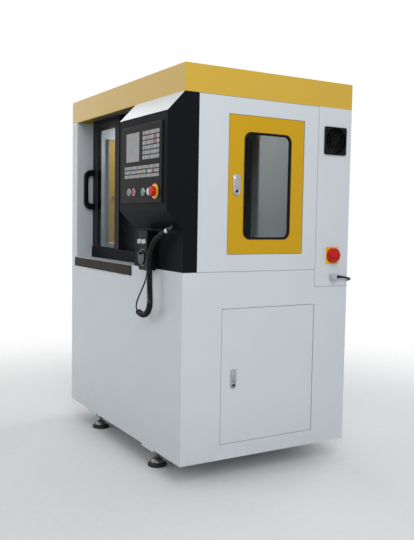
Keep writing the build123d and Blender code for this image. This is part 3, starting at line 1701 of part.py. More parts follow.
# Table with T-slots; its end brackets carry the screw and the motor
table_bottom_z = saddle_top_z + carriage_gap
table_top_z = table_bottom_z + table_height
bracket_bottom_z = table_bottom_z - bracket_drop
with BuildPart() as table:
    with BuildSketch(level(table_bottom_z)):
        with Locations((0, spindle_y)):
            Rectangle(table_width, table_length)
    extrude(amount=table_height)
    with BuildSketch(level(table_top_z)):
        with Locations((0, spindle_y)):
            with GridLocations(1, t_slot_spacing, 1, 3):
                Rectangle(table_width, t_slot_width)
    extrude(amount=-t_slot_depth, mode=Mode.SUBTRACT)
    with BuildSketch(level(table_top_z - t_slot_depth)):
        with Locations((0, spindle_y)):
            with GridLocations(1, t_slot_spacing, 1, 3):
                Rectangle(table_width, t_slot_foot_width)
    extrude(amount=t_slot_foot_height, mode=Mode.SUBTRACT)
    # Grooves over the saddle's rails
    with BuildSketch(level(table_bottom_z)):
        with Locations((0, spindle_y)):
            with GridLocations(1, rail_spacing_x_axis, 1, 2):
                Rectangle(table_width, rail_width + 2 * rail_play)
    extrude(amount=rail_height - carriage_gap + rail_play, mode=Mode.SUBTRACT)
    with BuildSketch(level(bracket_bottom_z)):
        with Locations((0, spindle_y)):
            with GridLocations(table_width + bracket_thickness, 1, 2, 1):
                Rectangle(bracket_thickness, bracket_width)
    extrude(amount=bracket_drop + table_height / 2)
    with BuildSketch(facing_right(0)):
        with Locations((spindle_y, x_screw_z)):
            Circle(screw_radius)
    extrude(amount=table_width / 2, both=True)
    with BuildSketch(facing_right(table_width / 2 + bracket_thickness)):
        with Locations((spindle_y, x_screw_z)):
            RectangleRounded(motor_size, motor_size, motor_corner)
    extrude(amount=motor_length)
save(table.part, "table")

# Column: rounded casting with side recesses, rails, screw, motor and the beam of the tool magazine
column_mid_y = (column_front_y + bed_rear_y) / 2
column_top_z = bed_top_z + column_block_height
z_screw_y = column_front_y + screw_trench_depth / 2
disc_z = base_top_z + disc_above_base
disc_top_z = disc_z + disc_thickness
arm_z = disc_top_z + carrier_above_disc
beam_mid_z = arm_z + carrier_arm_height / 2
beam_front_y = column_front_y - magazine_beam_depth
beam_right_x = -head_width / 2 - magazine_beam_gap
with BuildPart() as mill_column:
    with BuildSketch(level(bed_top_z)):
        with Locations((0, column_mid_y)):
            RectangleRounded(column_block_width, column_block_depth, column_edge_radius)
    extrude(amount=column_block_height)
    for face_x, depth in ((half_column, -column_panel_depth), (-half_column, column_panel_depth)):
        with BuildSketch(facing_right(face_x)):
            with Locations((column_mid_y, bed_top_z + column_block_height / 2)):
                with GridLocations(1, column_panel_pitch, 1, 3):
                    RectangleRounded(column_panel_width, column_panel_height, column_edge_radius)
        extrude(amount=depth, mode=Mode.SUBTRACT)
    # Trench between the rails, open to the front, and the screw in it
    with BuildSketch(facing_front(column_front_y)):
        rect(
            -screw_trench_width / 2,
            screw_trench_width / 2,
            bed_top_z + column_rail_start,
            column_top_z - bearing_wall,
        )
    extrude(amount=-screw_trench_depth, mode=Mode.SUBTRACT)
    with BuildSketch(level(bed_top_z + column_rail_start)):
        with Locations((0, z_screw_y)):
            Circle(screw_radius)
    extrude(amount=column_block_height - column_rail_start)
    with BuildSketch(facing_front(column_front_y)):
        with Locations((0, (bed_top_z + column_rail_start + column_top_z) / 2)):
            with GridLocations(rail_spacing_z_axis, 1, 2, 1):
                Rectangle(rail_width, column_block_height - column_rail_start - 2 * bearing_wall)
    extrude(amount=rail_height)
    with BuildSketch(level(column_top_z)):
        with Locations((0, z_screw_y)):
            RectangleRounded(motor_size, motor_size, motor_corner)
    extrude(amount=motor_length)
    # Magazine beam with its rail
    with BuildSketch(facing_front(column_front_y)):
        rect(
            -magazine_beam_reach,
            beam_right_x,
            beam_mid_z - magazine_beam_height / 2,
            beam_mid_z + magazine_beam_height / 2,
        )
    extrude(amount=magazine_beam_depth)
    with BuildSketch(facing_front(beam_front_y)):
        rect(
            -magazine_beam_reach,
            beam_right_x,
            beam_mid_z - rail_width / 2,
            beam_mid_z + rail_width / 2,
        )
    extrude(amount=magazine_rail_depth)
save(mill_column.part, "mill_column")

# Milling head: chamfered casting with rail grooves, nut, spindle sleeve and spindle motor
head_bottom_z = base_top_z + head_above_base
head_top_z = head_bottom_z + head_height
head_front_y = spindle_y - head_reach
head_rear_y = column_front_y - carriage_gap
sleeve_z = head_bottom_z - spindle_sleeve_length
with BuildPart() as head:
    with BuildSketch(level(head_bottom_z)):
        rect(-head_width / 2, head_width / 2, head_front_y, head_rear_y)
    extrude(amount=head_height)
    chamfer(head.faces().sort_by(Axis.Y)[0].edges().filter_by(Axis.Z), length=head_chamfer)
    chamfer(head.faces().sort_by(Axis.Z)[-1].edges().sort_by(Axis.Y)[0], length=head_chamfer / 2)
    with BuildSketch(facing_front(head_rear_y)):
        with Locations((0, (head_bottom_z + head_top_z) / 2)):
            with GridLocations(rail_spacing_z_axis, 1, 2, 1):
                Rectangle(rail_width + 2 * rail_play, head_height)
    extrude(amount=rail_height - carriage_gap + rail_play, mode=Mode.SUBTRACT)
    with BuildSketch(facing_front(head_rear_y)):
        with Locations((0, (head_bottom_z + head_top_z) / 2)):
            Rectangle(nut_width, nut_length)
    extrude(amount=-(nut_reach + carriage_gap))
    with BuildSketch(level((head_bottom_z + head_top_z) / 2)):
        with Locations((0, z_screw_y)):
            Circle(screw_radius + play)
    extrude(amount=nut_length / 2, both=True, mode=Mode.SUBTRACT)
    with BuildSketch(level(sleeve_z)):
        with Locations((0, spindle_y)):
            Circle(spindle_sleeve_radius)
    extrude(amount=spindle_sleeve_length)
    with BuildSketch(level(head_top_z)):
        with Locations((0, spindle_y)):
            RectangleRounded(spindle_motor_size, spindle_motor_size, 2 * motor_corner)
    extrude(amount=spindle_motor_height)
    with BuildSketch(level(sleeve_z)):
        with Locations((0, spindle_y)):
            Circle(spindle_shaft_radius + running_play)
    extrude(amount=spindle_shaft_length + 2 * play, mode=Mode.SUBTRACT)
save(head.part, "head")

# Spindle: nose with the tool bore and a shaft in the sleeve
nose_top_z = sleeve_z - play
nose_z = nose_top_z - spindle_nose_length
with BuildPart() as spindle:
    with BuildSketch(level(nose_z)):
        with Locations((0, spindle_y)):
            Circle(spindle_nose_radius)
    extrude(amount=spindle_nose_length)
    chamfer(spindle.faces().sort_by(Axis.Z)[0].edges(), length=3)
    with BuildSketch(level(nose_top_z)):
        with Locations((0, spindle_y)):
            Circle(spindle_shaft_radius)
    extrude(amount=spindle_shaft_length)
    with BuildSketch(level(nose_z)):
        with Locations((0, spindle_y)):
            Circle(spindle_bore_radius)
    extrude(amount=spindle_bore_depth, mode=Mode.SUBTRACT)
    # Two drive keys on the nose
    with BuildSketch(level(nose_z)):
        with Locations((0, spindle_y)):
            with GridLocations(2 * (spindle_nose_radius - nose_key_inset), 1, 2, 1):
                Rectangle(nose_key_width, nose_key_length)
    extrude(amount=-nose_key_height)
save(spindle.part, "spindle")

# Carrier of the tool disc: grooved plate, arm with the disc's bearing, and motor
carrier_rear_y = beam_front_y - carriage_gap
carrier_front_y = carrier_rear_y - carrier_thickness
with BuildPart() as tool_carrier:
    with BuildSketch(facing_front(carrier_rear_y)):
        with Locations((-disc_rest, beam_mid_z)):
            RectangleRounded(carrier_width, carrier_height, motor_corner)
    extrude(amount=carrier_thickness)
    with BuildSketch(facing_front(carrier_rear_y)):
        with Locations((-disc_rest, beam_mid_z)):
            Rectangle(carrier_width, rail_width + 2 * rail_play)
    extrude(amount=magazine_rail_depth - carriage_gap + rail_play, mode=Mode.SUBTRACT)
    with BuildSketch(level(arm_z)):
        rect(
            -disc_rest - carrier_width / 2,
            -disc_rest + carrier_width / 2,
            spindle_y - carrier_arm_front,
            carrier_front_y,
        )
    extrude(amount=carrier_arm_height)
    with BuildSketch(level(arm_z + carrier_arm_height)):
        with Locations((-disc_rest, spindle_y)):
            Circle(magazine_motor_radius)
    extrude(amount=magazine_motor_height)
    fillet(tool_carrier.faces().sort_by(Axis.Z)[-1].edges(), radius=magazine_motor_edge)
    with BuildSketch(level(arm_z)):
        with Locations((-disc_rest, spindle_y)):
            Circle(disc_shaft_radius + running_play)
    extrude(amount=carrier_arm_height - bearing_wall, mode=Mode.SUBTRACT)
save(tool_carrier.part, "tool_carrier")

# Tool holder with its cutter, standing in a pocket of the disc
holder_mid_z = disc_z + disc_thickness / 2
flange_low_z = holder_mid_z - holder_flange_height / 2
flange_high_z = holder_mid_z + holder_flange_height / 2
with BuildPart() as tool_holder:
    with BuildSketch(Plane.XZ):
        Polygon(
            (0, flange_low_z - holder_nose_length - tool_length),
            (tool_radius, flange_low_z - holder_nose_length - tool_length),
            (tool_radius, flange_low_z - holder_nose_length),
            (holder_nose_radius, flange_low_z - holder_nose_length),
            (holder_nose_radius, flange_low_z),
            (holder_flange_radius, flange_low_z),
            (holder_flange_radius, flange_high_z),
            (holder_taper_base, flange_high_z),
            (holder_taper_top, flange_high_z + holder_taper_height),
            (0, flange_high_z + holder_taper_height),
            align=None,
        )
    revolve(axis=Axis.Z)
with BuildPart() as tool_disc:
    with BuildSketch(level(disc_z)):
        with Locations((-disc_rest, spindle_y)):
            Circle(disc_radius)
            with PolarLocations(pocket_circle * 0.55, pocket_count):
                Circle(disc_hub_radius * 0.6, mode=Mode.SUBTRACT)
    extrude(amount=disc_thickness)
    with BuildSketch(level(disc_top_z)):
        with Locations((-disc_rest, spindle_y)):
            Circle(disc_hub_radius)
    extrude(amount=disc_hub_height)
    with BuildSketch(level(disc_top_z)):
        with Locations((-disc_rest, spindle_y)):
            Circle(disc_shaft_radius)
    extrude(amount=carrier_above_disc + carrier_arm_height - bearing_wall - play)
    with Locations((-disc_rest, spindle_y, 0)):
        with PolarLocations(pocket_circle, pocket_count):
            add(tool_holder.part)
save(tool_disc.part, "tool_disc")


def bend_radii(points):
    """Bend radii of a cord's route: each bend takes 0.45 of its shorter run."""
    radii = []
    for before, corner, after in zip(points, points[1:], points[2:]):
        incoming = Vector(*corner) - Vector(*before)
        outgoing = Vector(*after) - Vector(*corner)
        half_turn = radians(incoming.get_angle(outgoing)) / 2
        radii.append(0.45 * min(incoming.length, outgoing.length) / tan(half_turn))
    return radii


def cord_route(points):
    """Route of a cord: straight runs joined by tangent arcs."""
    with BuildLine() as line:
        FilletPolyline(*points, radius=bend_radii(points))
    return line.wire()


def cord_tube(points, radius):
    """Round cord along a route."""
    route = cord_route(points)
    with BuildPart() as tube:
        with BuildSketch(Plane(origin=route @ 0, z_dir=route % 0)):
            Circle(radius)
        sweep(path=route)
    return tube.part


def from_corner(x, y, z):
    """Point given from the right front lower corner of the cabinet."""
    return (side_x + x, front_y + y, base_bottom_z + z)


# Pendant cord: curly part from the connector down to its lowest bend, as its outer shape
curl_route = [
    tuple(elbow_end),
    tuple(elbow_end + elbow_way * curl_start_length),
    from_corner(-163.0, -41.0, 905.0),
    from_corner(-193.0, -45.0, 864.0),
    from_corner(-203.0, -47.0, 810.0),
    from_corner(-200.0, -47.0, 740.0),
    from_corner(-195.5, -46.5, 680.0),
    from_corner(-195.0, -46.0, 636.0),
    from_corner(-214.0, -45.5, 602.0),
    from_corner(-252.0, -45.0, 587.0),
    from_corner(-290.0, -44.6, 588.0),
    from_corner(-320.0, -44.3, 597.0),
]
save(cord_tube(curl_route, curl_radius), "pendant_cord")

# Plain end of the pendant cord up to the pendant
curl_end = Vector(*curl_route[-1])
curl_end_way = (curl_end - Vector(*curl_route[-2])).normalized()
lead_route = [
    tuple(curl_end),
    tuple(curl_end + curl_end_way * lead_start_length),
    from_corner(-335.0, -43.5, 626.0),
    from_corner(-322.0, -41.0, 650.0),
    from_corner(-301.0, -37.0, 682.0),
    from_corner(-280.0, -30.0, 722.0),
    (pendant_x, pendant_back_y - pendant_depth / 2, pendant_bottom_z - lead_entry_length),
    (pendant_x, pendant_back_y - pendant_depth / 2, pendant_bottom_z),
]
save(cord_tube(lead_route, lead_radius), "pendant_lead")

# Power cord from the gland round the rear corner and down to the floor
cord_floor_z = cord_radius
coil_x = side_x - coil_from_right
coil_y = rear_y + coil_behind
gland_end_y = electrical_mid_y + gland_outlet_length
power_route = [
    (side_x + gland_reach, gland_end_y, gland_z),
    (side_x + gland_reach, gland_end_y + mains_start_length, gland_z),
    from_corner(17.0, 846.0, 740.0),
    from_corner(-3.0, 870.0, 734.0),
    from_corner(-36.0, 880.0, 727.0),
    from_corner(-82.0, 882.0, 717.0),
    from_corner(-132.0, 883.0, 692.0),
    from_corner(-174.0, 884.0, 648.0),
    from_corner(-202.0, 885.0, 588.0),
    from_corner(-213.0, 886.0, 510.0),
    from_corner(-216.0, 887.0, 410.0),
    from_corner(-214.0, 888.0, 300.0),
    from_corner(-216.0, 889.0, 190.0),
    from_corner(-214.0, 889.0, 90.0),
    from_corner(-217.0, 888.0, 20.0),
    from_corner(-228.0, 886.5, -35.0),
    from_corner(-258.0, 884.5, -72.0),
    (side_x - 302.0, coil_y - coil_radius + 0.5, cord_floor_z),
    (side_x - 352.0, coil_y - coil_radius, cord_floor_z),
    (coil_x, coil_y - coil_radius, cord_floor_z),
]
save(cord_tube(power_route, cord_radius), "power_cord")

# Coil of the power cord as its outer shape, with the tail that leads down to the plug
coil_rise = coil_turns * coil_pitch
coil_end_angle = -pi / 2 - 2 * pi * coil_turns
coil_end = Vector(cos(coil_end_angle), sin(coil_end_angle), 0) * coil_radius + Vector(
    coil_x, coil_y, cord_floor_z + coil_rise
)
tail_way = Vector(sin(coil_end_angle), -cos(coil_end_angle), 0)
plug_z = plug_height / 2
tail_drop = Vector(0, 0, plug_z - cord_floor_z - coil_rise)
tail_route = [
    tuple(coil_end),
    tuple(coil_end + tail_way * tail_first),
    tuple(coil_end + tail_way * tail_second - Vector(0, 0, tail_second_drop)),
    tuple(coil_end + tail_way * tail_third + tail_drop),
    tuple(coil_end + tail_way * tail_length + tail_drop),
]
with BuildPart() as power_cord_coil:
    with BuildSketch(level(0)):
        with Locations((coil_x, coil_y)):
            Circle(coil_radius + coil_band / 2)
            Circle(coil_radius - coil_band / 2, mode=Mode.SUBTRACT)
    extrude(amount=coil_rise + 2 * cord_radius + coil_cover)
    fillet(power_cord_coil.edges(), radius=coil_edge_radius)
    add(cord_tube(tail_route, cord_radius))
save(power_cord_coil.part, "power_cord_coil")

# Mains plug on the floor
with BuildPart() as power_plug:
    plug_start = Vector(*tail_route[-1])
    with BuildSketch(Plane(origin=plug_start, x_dir=tail_way.cross(Vector(0, 0, 1)), z_dir=tail_way)):
        Circle(plug_neck_radius)
    extrude(amount=plug_neck_length)
    plug_face = Plane(
        origin=plug_start + tail_way * plug_neck_length,
        x_dir=tail_way.cross(Vector(0, 0, 1)),
        z_dir=tail_way,
    )
    with BuildSketch(plug_face):
        RectangleRounded(plug_width, plug_height, plug_corner_radius)
    extrude(amount=plug_length)
    with BuildSketch(plug_face.offset(plug_length)):
        with Locations(*plug_pin_places):
            Rectangle(plug_pin_thickness, plug_pin_width)
    extrude(amount=plug_pin_length)
save(power_plug.part, "power_plug")

for cord_name, route in (
    ("pendant cord", curl_route),
    ("pendant lead", lead_route),
    ("power cord", power_route),
    ("power cord tail", tail_route),
):
    lengths = [(Vector(*b) - Vector(*a)).length for a, b in zip(route, route[1:])]
    print(cord_name, "length", round(cord_route(route).length, 1))
    print("  runs", [round(value) for value in lengths])
    print("  bends", [round(value) for value in bend_radii(route)])
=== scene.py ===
"""Looks of an enclosed mini CNC machining center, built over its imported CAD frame.

The frame's solids keep their shape and place. This script gives each of them its finish and adds
what is too fine for the frame: window profiles, key caps, button collars, dial marks, screws, latch
covers, the curled pendant cable and the power cord. Lengths are metres in the frame's own axes.
"""

import json
import logging
import math
from dataclasses import dataclass
from enum import Enum
from typing import Any, Callable, ClassVar, Iterable, Sequence

import bpy
import numpy as np
from mathutils import Matrix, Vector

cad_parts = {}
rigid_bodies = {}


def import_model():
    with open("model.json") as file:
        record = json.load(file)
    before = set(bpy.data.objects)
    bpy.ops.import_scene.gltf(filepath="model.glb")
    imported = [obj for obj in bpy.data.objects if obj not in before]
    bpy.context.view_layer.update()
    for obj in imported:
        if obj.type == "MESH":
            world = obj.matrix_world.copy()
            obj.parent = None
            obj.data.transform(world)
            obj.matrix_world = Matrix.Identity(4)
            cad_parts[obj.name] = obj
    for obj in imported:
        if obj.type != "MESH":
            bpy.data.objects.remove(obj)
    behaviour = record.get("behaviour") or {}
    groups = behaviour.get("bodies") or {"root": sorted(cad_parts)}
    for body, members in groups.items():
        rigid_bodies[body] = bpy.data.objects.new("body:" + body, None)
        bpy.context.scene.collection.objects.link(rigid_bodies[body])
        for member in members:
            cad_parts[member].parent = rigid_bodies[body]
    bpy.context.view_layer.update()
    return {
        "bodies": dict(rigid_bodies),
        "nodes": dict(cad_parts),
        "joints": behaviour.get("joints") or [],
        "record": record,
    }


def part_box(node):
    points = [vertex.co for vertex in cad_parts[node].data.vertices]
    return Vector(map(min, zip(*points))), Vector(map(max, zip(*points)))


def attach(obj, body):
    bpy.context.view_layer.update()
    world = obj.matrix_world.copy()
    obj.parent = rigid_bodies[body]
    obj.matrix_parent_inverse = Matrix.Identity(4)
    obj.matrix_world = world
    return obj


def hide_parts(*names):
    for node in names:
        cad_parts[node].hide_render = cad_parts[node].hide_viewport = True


Colour = tuple[float, float, float]
Point = tuple[float, float, float]
Profile = Sequence[tuple[float, float]]
Socket = bpy.types.NodeSocket

LOG = logging.getLogger("machining_center")
TURN = 2 * np.pi
SHARP_EDGE = math.radians(38)
# How far a fitting stands off, or sinks into, what carries it.
TOUCH = 0.0002
# Curves with more control points than this get fewer steps between two of them.
LONG_CURVE = 200
WHITE = (1.0, 1.0, 1.0)
GREY = (0.8, 0.8, 0.8, 1.0)
# Brownish tone that enamel goes towards in patches near the floor.
LOW_TONE = (0.26, 0.23, 0.19)
# Colour layer of a mesh that a tinted finish reads.
TINT = "tint"


class Facing(Enum):
    """Side of the machine that a fitting looks towards: the axes along its wall, up and out."""

    FRONT = ((1.0, 0.0, 0.0), (0.0, 0.0, 1.0), (0.0, -1.0, 0.0))
    RIGHT = ((0.0, 1.0, 0.0), (0.0, 0.0, 1.0), (1.0, 0.0, 0.0))
    LEFT = ((0.0, -1.0, 0.0), (0.0, 0.0, 1.0), (-1.0, 0.0, 0.0))
    REAR = ((-1.0, 0.0, 0.0), (0.0, 0.0, 1.0), (0.0, 1.0, 0.0))


# Geometry


@dataclass
class Shell:
    """Vertices and faces of a surface before it becomes a piece."""

    points: np.ndarray
    faces: list[list[int]]

    def stood(self, place: Point, facing: Facing) -> "Shell":
        """The shell on its wall: local x runs along the wall, y up and z out of it."""
        return Shell(self.points @ np.array(facing.value) + np.array(place), self.faces)


def loft(loops: np.ndarray, ring: bool = False) -> Shell:
    """Skin over closed loops, one after the other.

    Args:
        loops: array of loops, points and coordinates.
        ring: whether the last loop joins the first. Otherwise both ends get a flat face.

    Returns:
        The skin.
    """
    rows, columns, _ = loops.shape
    row, column = np.meshgrid(
        np.arange(rows if ring else rows - 1), np.arange(columns), indexing="ij"
    )
    near, far = row * columns, (row + 1) % rows * columns
    right = (column + 1) % columns
    quads = np.stack([near + column, near + right, far + right, far + column], -1)
    faces = quads.reshape(-1, 4).tolist()
    if not ring:
        faces.append(list(range(columns - 1, -1, -1)))
        faces.append(list(range((rows - 1) * columns, rows * columns)))
    return Shell(loops.reshape(-1, 3), faces)


def stacked(outlines: Iterable[tuple[np.ndarray, float]]) -> np.ndarray:
    """Loops from flat outlines with the same number of points, each at its own height."""
    return np.array([np.column_stack([flat, np.full(len(flat), z)]) for flat, z in outlines])


def join(shells: Iterable[Shell]) -> Shell:
    """One shell that holds all the given ones side by side.

    Args:
        shells: the shells to put together.

    Returns:
        The one shell.
    """
    points: list[np.ndarray] = []
    faces: list[list[int]] = []
    start = 0
    for shell in shells:
        points.append(shell.points)
        faces.extend([[index + start for index in face] for face in shell.faces])
        start += len(shell.points)
    return Shell(np.concatenate(points), faces)


def rounded_loop(width: float, height: float, radius: float, corner: int = 8) -> np.ndarray:
    """Closed outline of a rectangle with round corners, anticlockwise.

    Each corner is a quarter circle about the point that lies one radius inside both sides:
    x = cx + r cos t, y = cy + r sin t, with t in four quarter turns.

    Args:
        width: size along x.
        height: size along y.
        radius: corner radius.
        corner: points in a corner.

    Returns:
        Array of points with two coordinates.
    """
    quarter = np.pi / 2
    turn = np.linspace(0.0, quarter, corner)[None, :] + (np.arange(4) * quarter)[:, None]
    sign_x = np.array([1.0, -1.0, -1.0, 1.0])[:, None]
    sign_y = np.array([1.0, 1.0, -1.0, -1.0])[:, None]
    x = sign_x * (width / 2 - radius) + radius * np.cos(turn)
    y = sign_y * (height / 2 - radius) + radius * np.sin(turn)
    return np.stack([x.ravel(), y.ravel()], -1)


def lathe(profile: Profile, segments: int) -> np.ndarray:
    """Loops of a turned part about its own z axis: x = r cos t, y = r sin t, z = h.

    Args:
        profile: radius and height of each loop.
        segments: points around.

    Returns:
        Array of loops, points and coordinates.
    """
    radius, height = np.array(profile).T
    turn = np.linspace(0.0, TURN, segments, endpoint=False)
    x = radius[:, None] * np.cos(turn)
    y = radius[:, None] * np.sin(turn)
    return np.stack([x, y, np.broadcast_to(height[:, None], x.shape)], -1)


def box_of(node: str) -> tuple[np.ndarray, np.ndarray]:
    """Lowest and highest corner of a frame node."""
    low, high = (np.array(corner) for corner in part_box(node))
    return low, high


def foot(node: str, facing: Facing, back: float | None = None) -> Point:
    """Middle of the side of a node's box that looks one way, moved back into the machine.

    Args:
        node: the frame's node.
        facing: the side.
        back: how far back, or None for the box's own depth.

    Returns:
        The point.
    """
    low, high = box_of(node)
    out = np.array(facing.value[2])
    depth = abs(float((high - low) @ out))
    return tuple((low + high) / 2 + out * (depth / 2 - (depth if back is None else back)))


def arc_lengths(points: np.ndarray) -> np.ndarray:
    """Distance along a polyline from its first point to each of its points."""
    steps = np.linalg.norm(np.diff(points, axis=0), axis=1)
    return np.concatenate([[0.0], np.cumsum(steps)])


def resample(points: np.ndarray, count: int) -> np.ndarray:
    """A polyline's points again, evenly spaced by length.

    Args:
        points: the polyline's points.
        count: how many points to give.

    Returns:
        The new points.
    """
    along = arc_lengths(points)
    target = np.linspace(0.0, along[-1], count)
    return np.stack([np.interp(target, along, points[:, axis]) for axis in range(3)], -1)


def nurbs(name: str, points: np.ndarray, radius: float = 0.0, sides: int = 2) -> bpy.types.Object:
    """Curve object of one open NURBS spline with these control points.

    Args:
        name: the object's name.
        points: control points.
        radius: half the thickness, or 0 for a bare line.
        sides: roundness of the section.

    Returns:
        The linked curve object.
    """
    curve = bpy.data.curves.new(name, "CURVE")
    curve.dimensions = "3D"
    spline = curve.splines.new("NURBS")
    spline.points.add(len(points) - 1)
    weighted = np.concatenate([points, np.ones((len(points), 1))], 1)
    spline.points.foreach_set("co", weighted.astype(np.float32).ravel())
    spline.order_u = 3
    spline.use_endpoint_u = True
    spline.resolution_u = 4 if len(points) < LONG_CURVE else 2
    curve.bevel_depth = radius
    curve.bevel_resolution = sides
    curve.use_fill_caps = radius > 0
    item = bpy.data.objects.new(name, curve)
    bpy.context.scene.collection.objects.link(item)
    return item


def line_of(points: np.ndarray) -> np.ndarray:
    """Points along the NURBS spline that these control points give, read from its own mesh.

    Args:
        points: control points.

    Returns:
        Points along the line.
    """
    item = nurbs("route", points)
    mesh = bpy.data.meshes.new_from_object(item)
    line = np.zeros(len(mesh.vertices) * 3)
    mesh.vertices.foreach_get("co", line)
    curve = item.data
    bpy.data.objects.remove(item)
    bpy.data.meshes.remove(mesh)
    bpy.data.curves.remove(curve)
    return line.reshape(-1, 3)


# Finishes


class Graph:
    """A node tree and the short way to fill it."""

    def __init__(self, tree: bpy.types.NodeTree) -> None:
        """Keeps the tree."""
        self.tree = tree

    def add(self, kind: str, inputs: dict[Any, Any] | None = None, **settings: Any) -> Any:
        """Adds a shader node.

        Args:
            kind: the node's type, without the word that all of them start with.
            inputs: a number, colour or output socket for each named or numbered input.
            **settings: properties of the node.

        Returns:
            The node.
        """
        node = self.tree.nodes.new(f"ShaderNode{kind}")
        for key, value in settings.items():
            setattr(node, key, value)
        for key, value in (inputs or {}).items():
            socket = node.inputs[key]
            if isinstance(value, Socket):
                self.tree.links.new(value, socket)
            else:
                plain = socket.type == "RGBA" and len(value) == 3
                socket.default_value = (*value, 1.0) if plain else value
        return node

    def math(self, operation: str, *values: Any) -> Socket:
        """Result of one Math node, held between 0 and 1 where the operation ends in _CLAMP.

        Args:
            operation: the node's operation, with or without _CLAMP at its end.
            *values: a number or a socket for each input.

        Returns:
            The result.
        """
        plain = operation.removesuffix("_CLAMP")
        inputs = dict(enumerate(values))
        return self.add("Math", inputs, operation=plain, use_clamp=plain != operation).outputs[0]

    def vector(self, operation: str, *values: Any, output: int | str = 0) -> Socket:
        """Result of one Vector Math node."""
        node = self.add("VectorMath", dict(enumerate(values)), operation=operation)
        return node.outputs[output]

    def mix(self, factor: Any, first: Any, second: Any) -> Socket:
        """Colour between two colours."""
        inputs = {"Factor": factor, 6: first, 7: second}
        return self.add("Mix", inputs, data_type="RGBA").outputs[2]

    def place(self) -> Socket:
        """Object coordinates, which are the frame's own metres."""
        return self.add("TexCoord").outputs["Object"]

    def parts(self, vector: Socket) -> Any:
        """The three numbers of a vector, under X, Y and Z."""
        return self.add("SeparateXYZ", {0: vector}).outputs

    def noise(self, scale: Any, detail: float, vector: Socket | None = None) -> Socket:
        """Noise over the object's coordinates, or over another vector."""
        where = self.place() if vector is None else vector
        return self.add("TexNoise", {"Vector": where, "Scale": scale, "Detail": detail}).outputs[0]

    def swing(self, noise: Socket, amount: Any, middle: Any, operation: str = "ADD") -> Socket:
        """The middle plus amount (noise - 1/2)."""
        centred = self.math("SUBTRACT", noise, 0.5)
        return self.math(operation, self.math("MULTIPLY", centred, amount), middle)

    def scaled(self, colour: Any, gain: Socket) -> Socket:
        """Colour times a number."""
        inputs = {0: colour, "Scale": gain}
        return self.add("VectorMath", inputs, operation="SCALE").outputs[0]

    def bump(self, height: Socket, distance: Any) -> Socket:
        """Normal of a relief with this height and depth."""
        return self.add("Bump", {"Distance": distance, "Height": height}).outputs[0]

    def blend(self, factor: Socket, first: Socket, second: Socket) -> Socket:
        """Shader between two shaders."""
        return self.add("MixShader", {0: factor, 1: first, 2: second}).outputs[0]

    def principled(self, inputs: dict[str, Any]) -> Socket:
        """Shader of one Principled node."""
        return self.add("BsdfPrincipled", inputs).outputs[0]


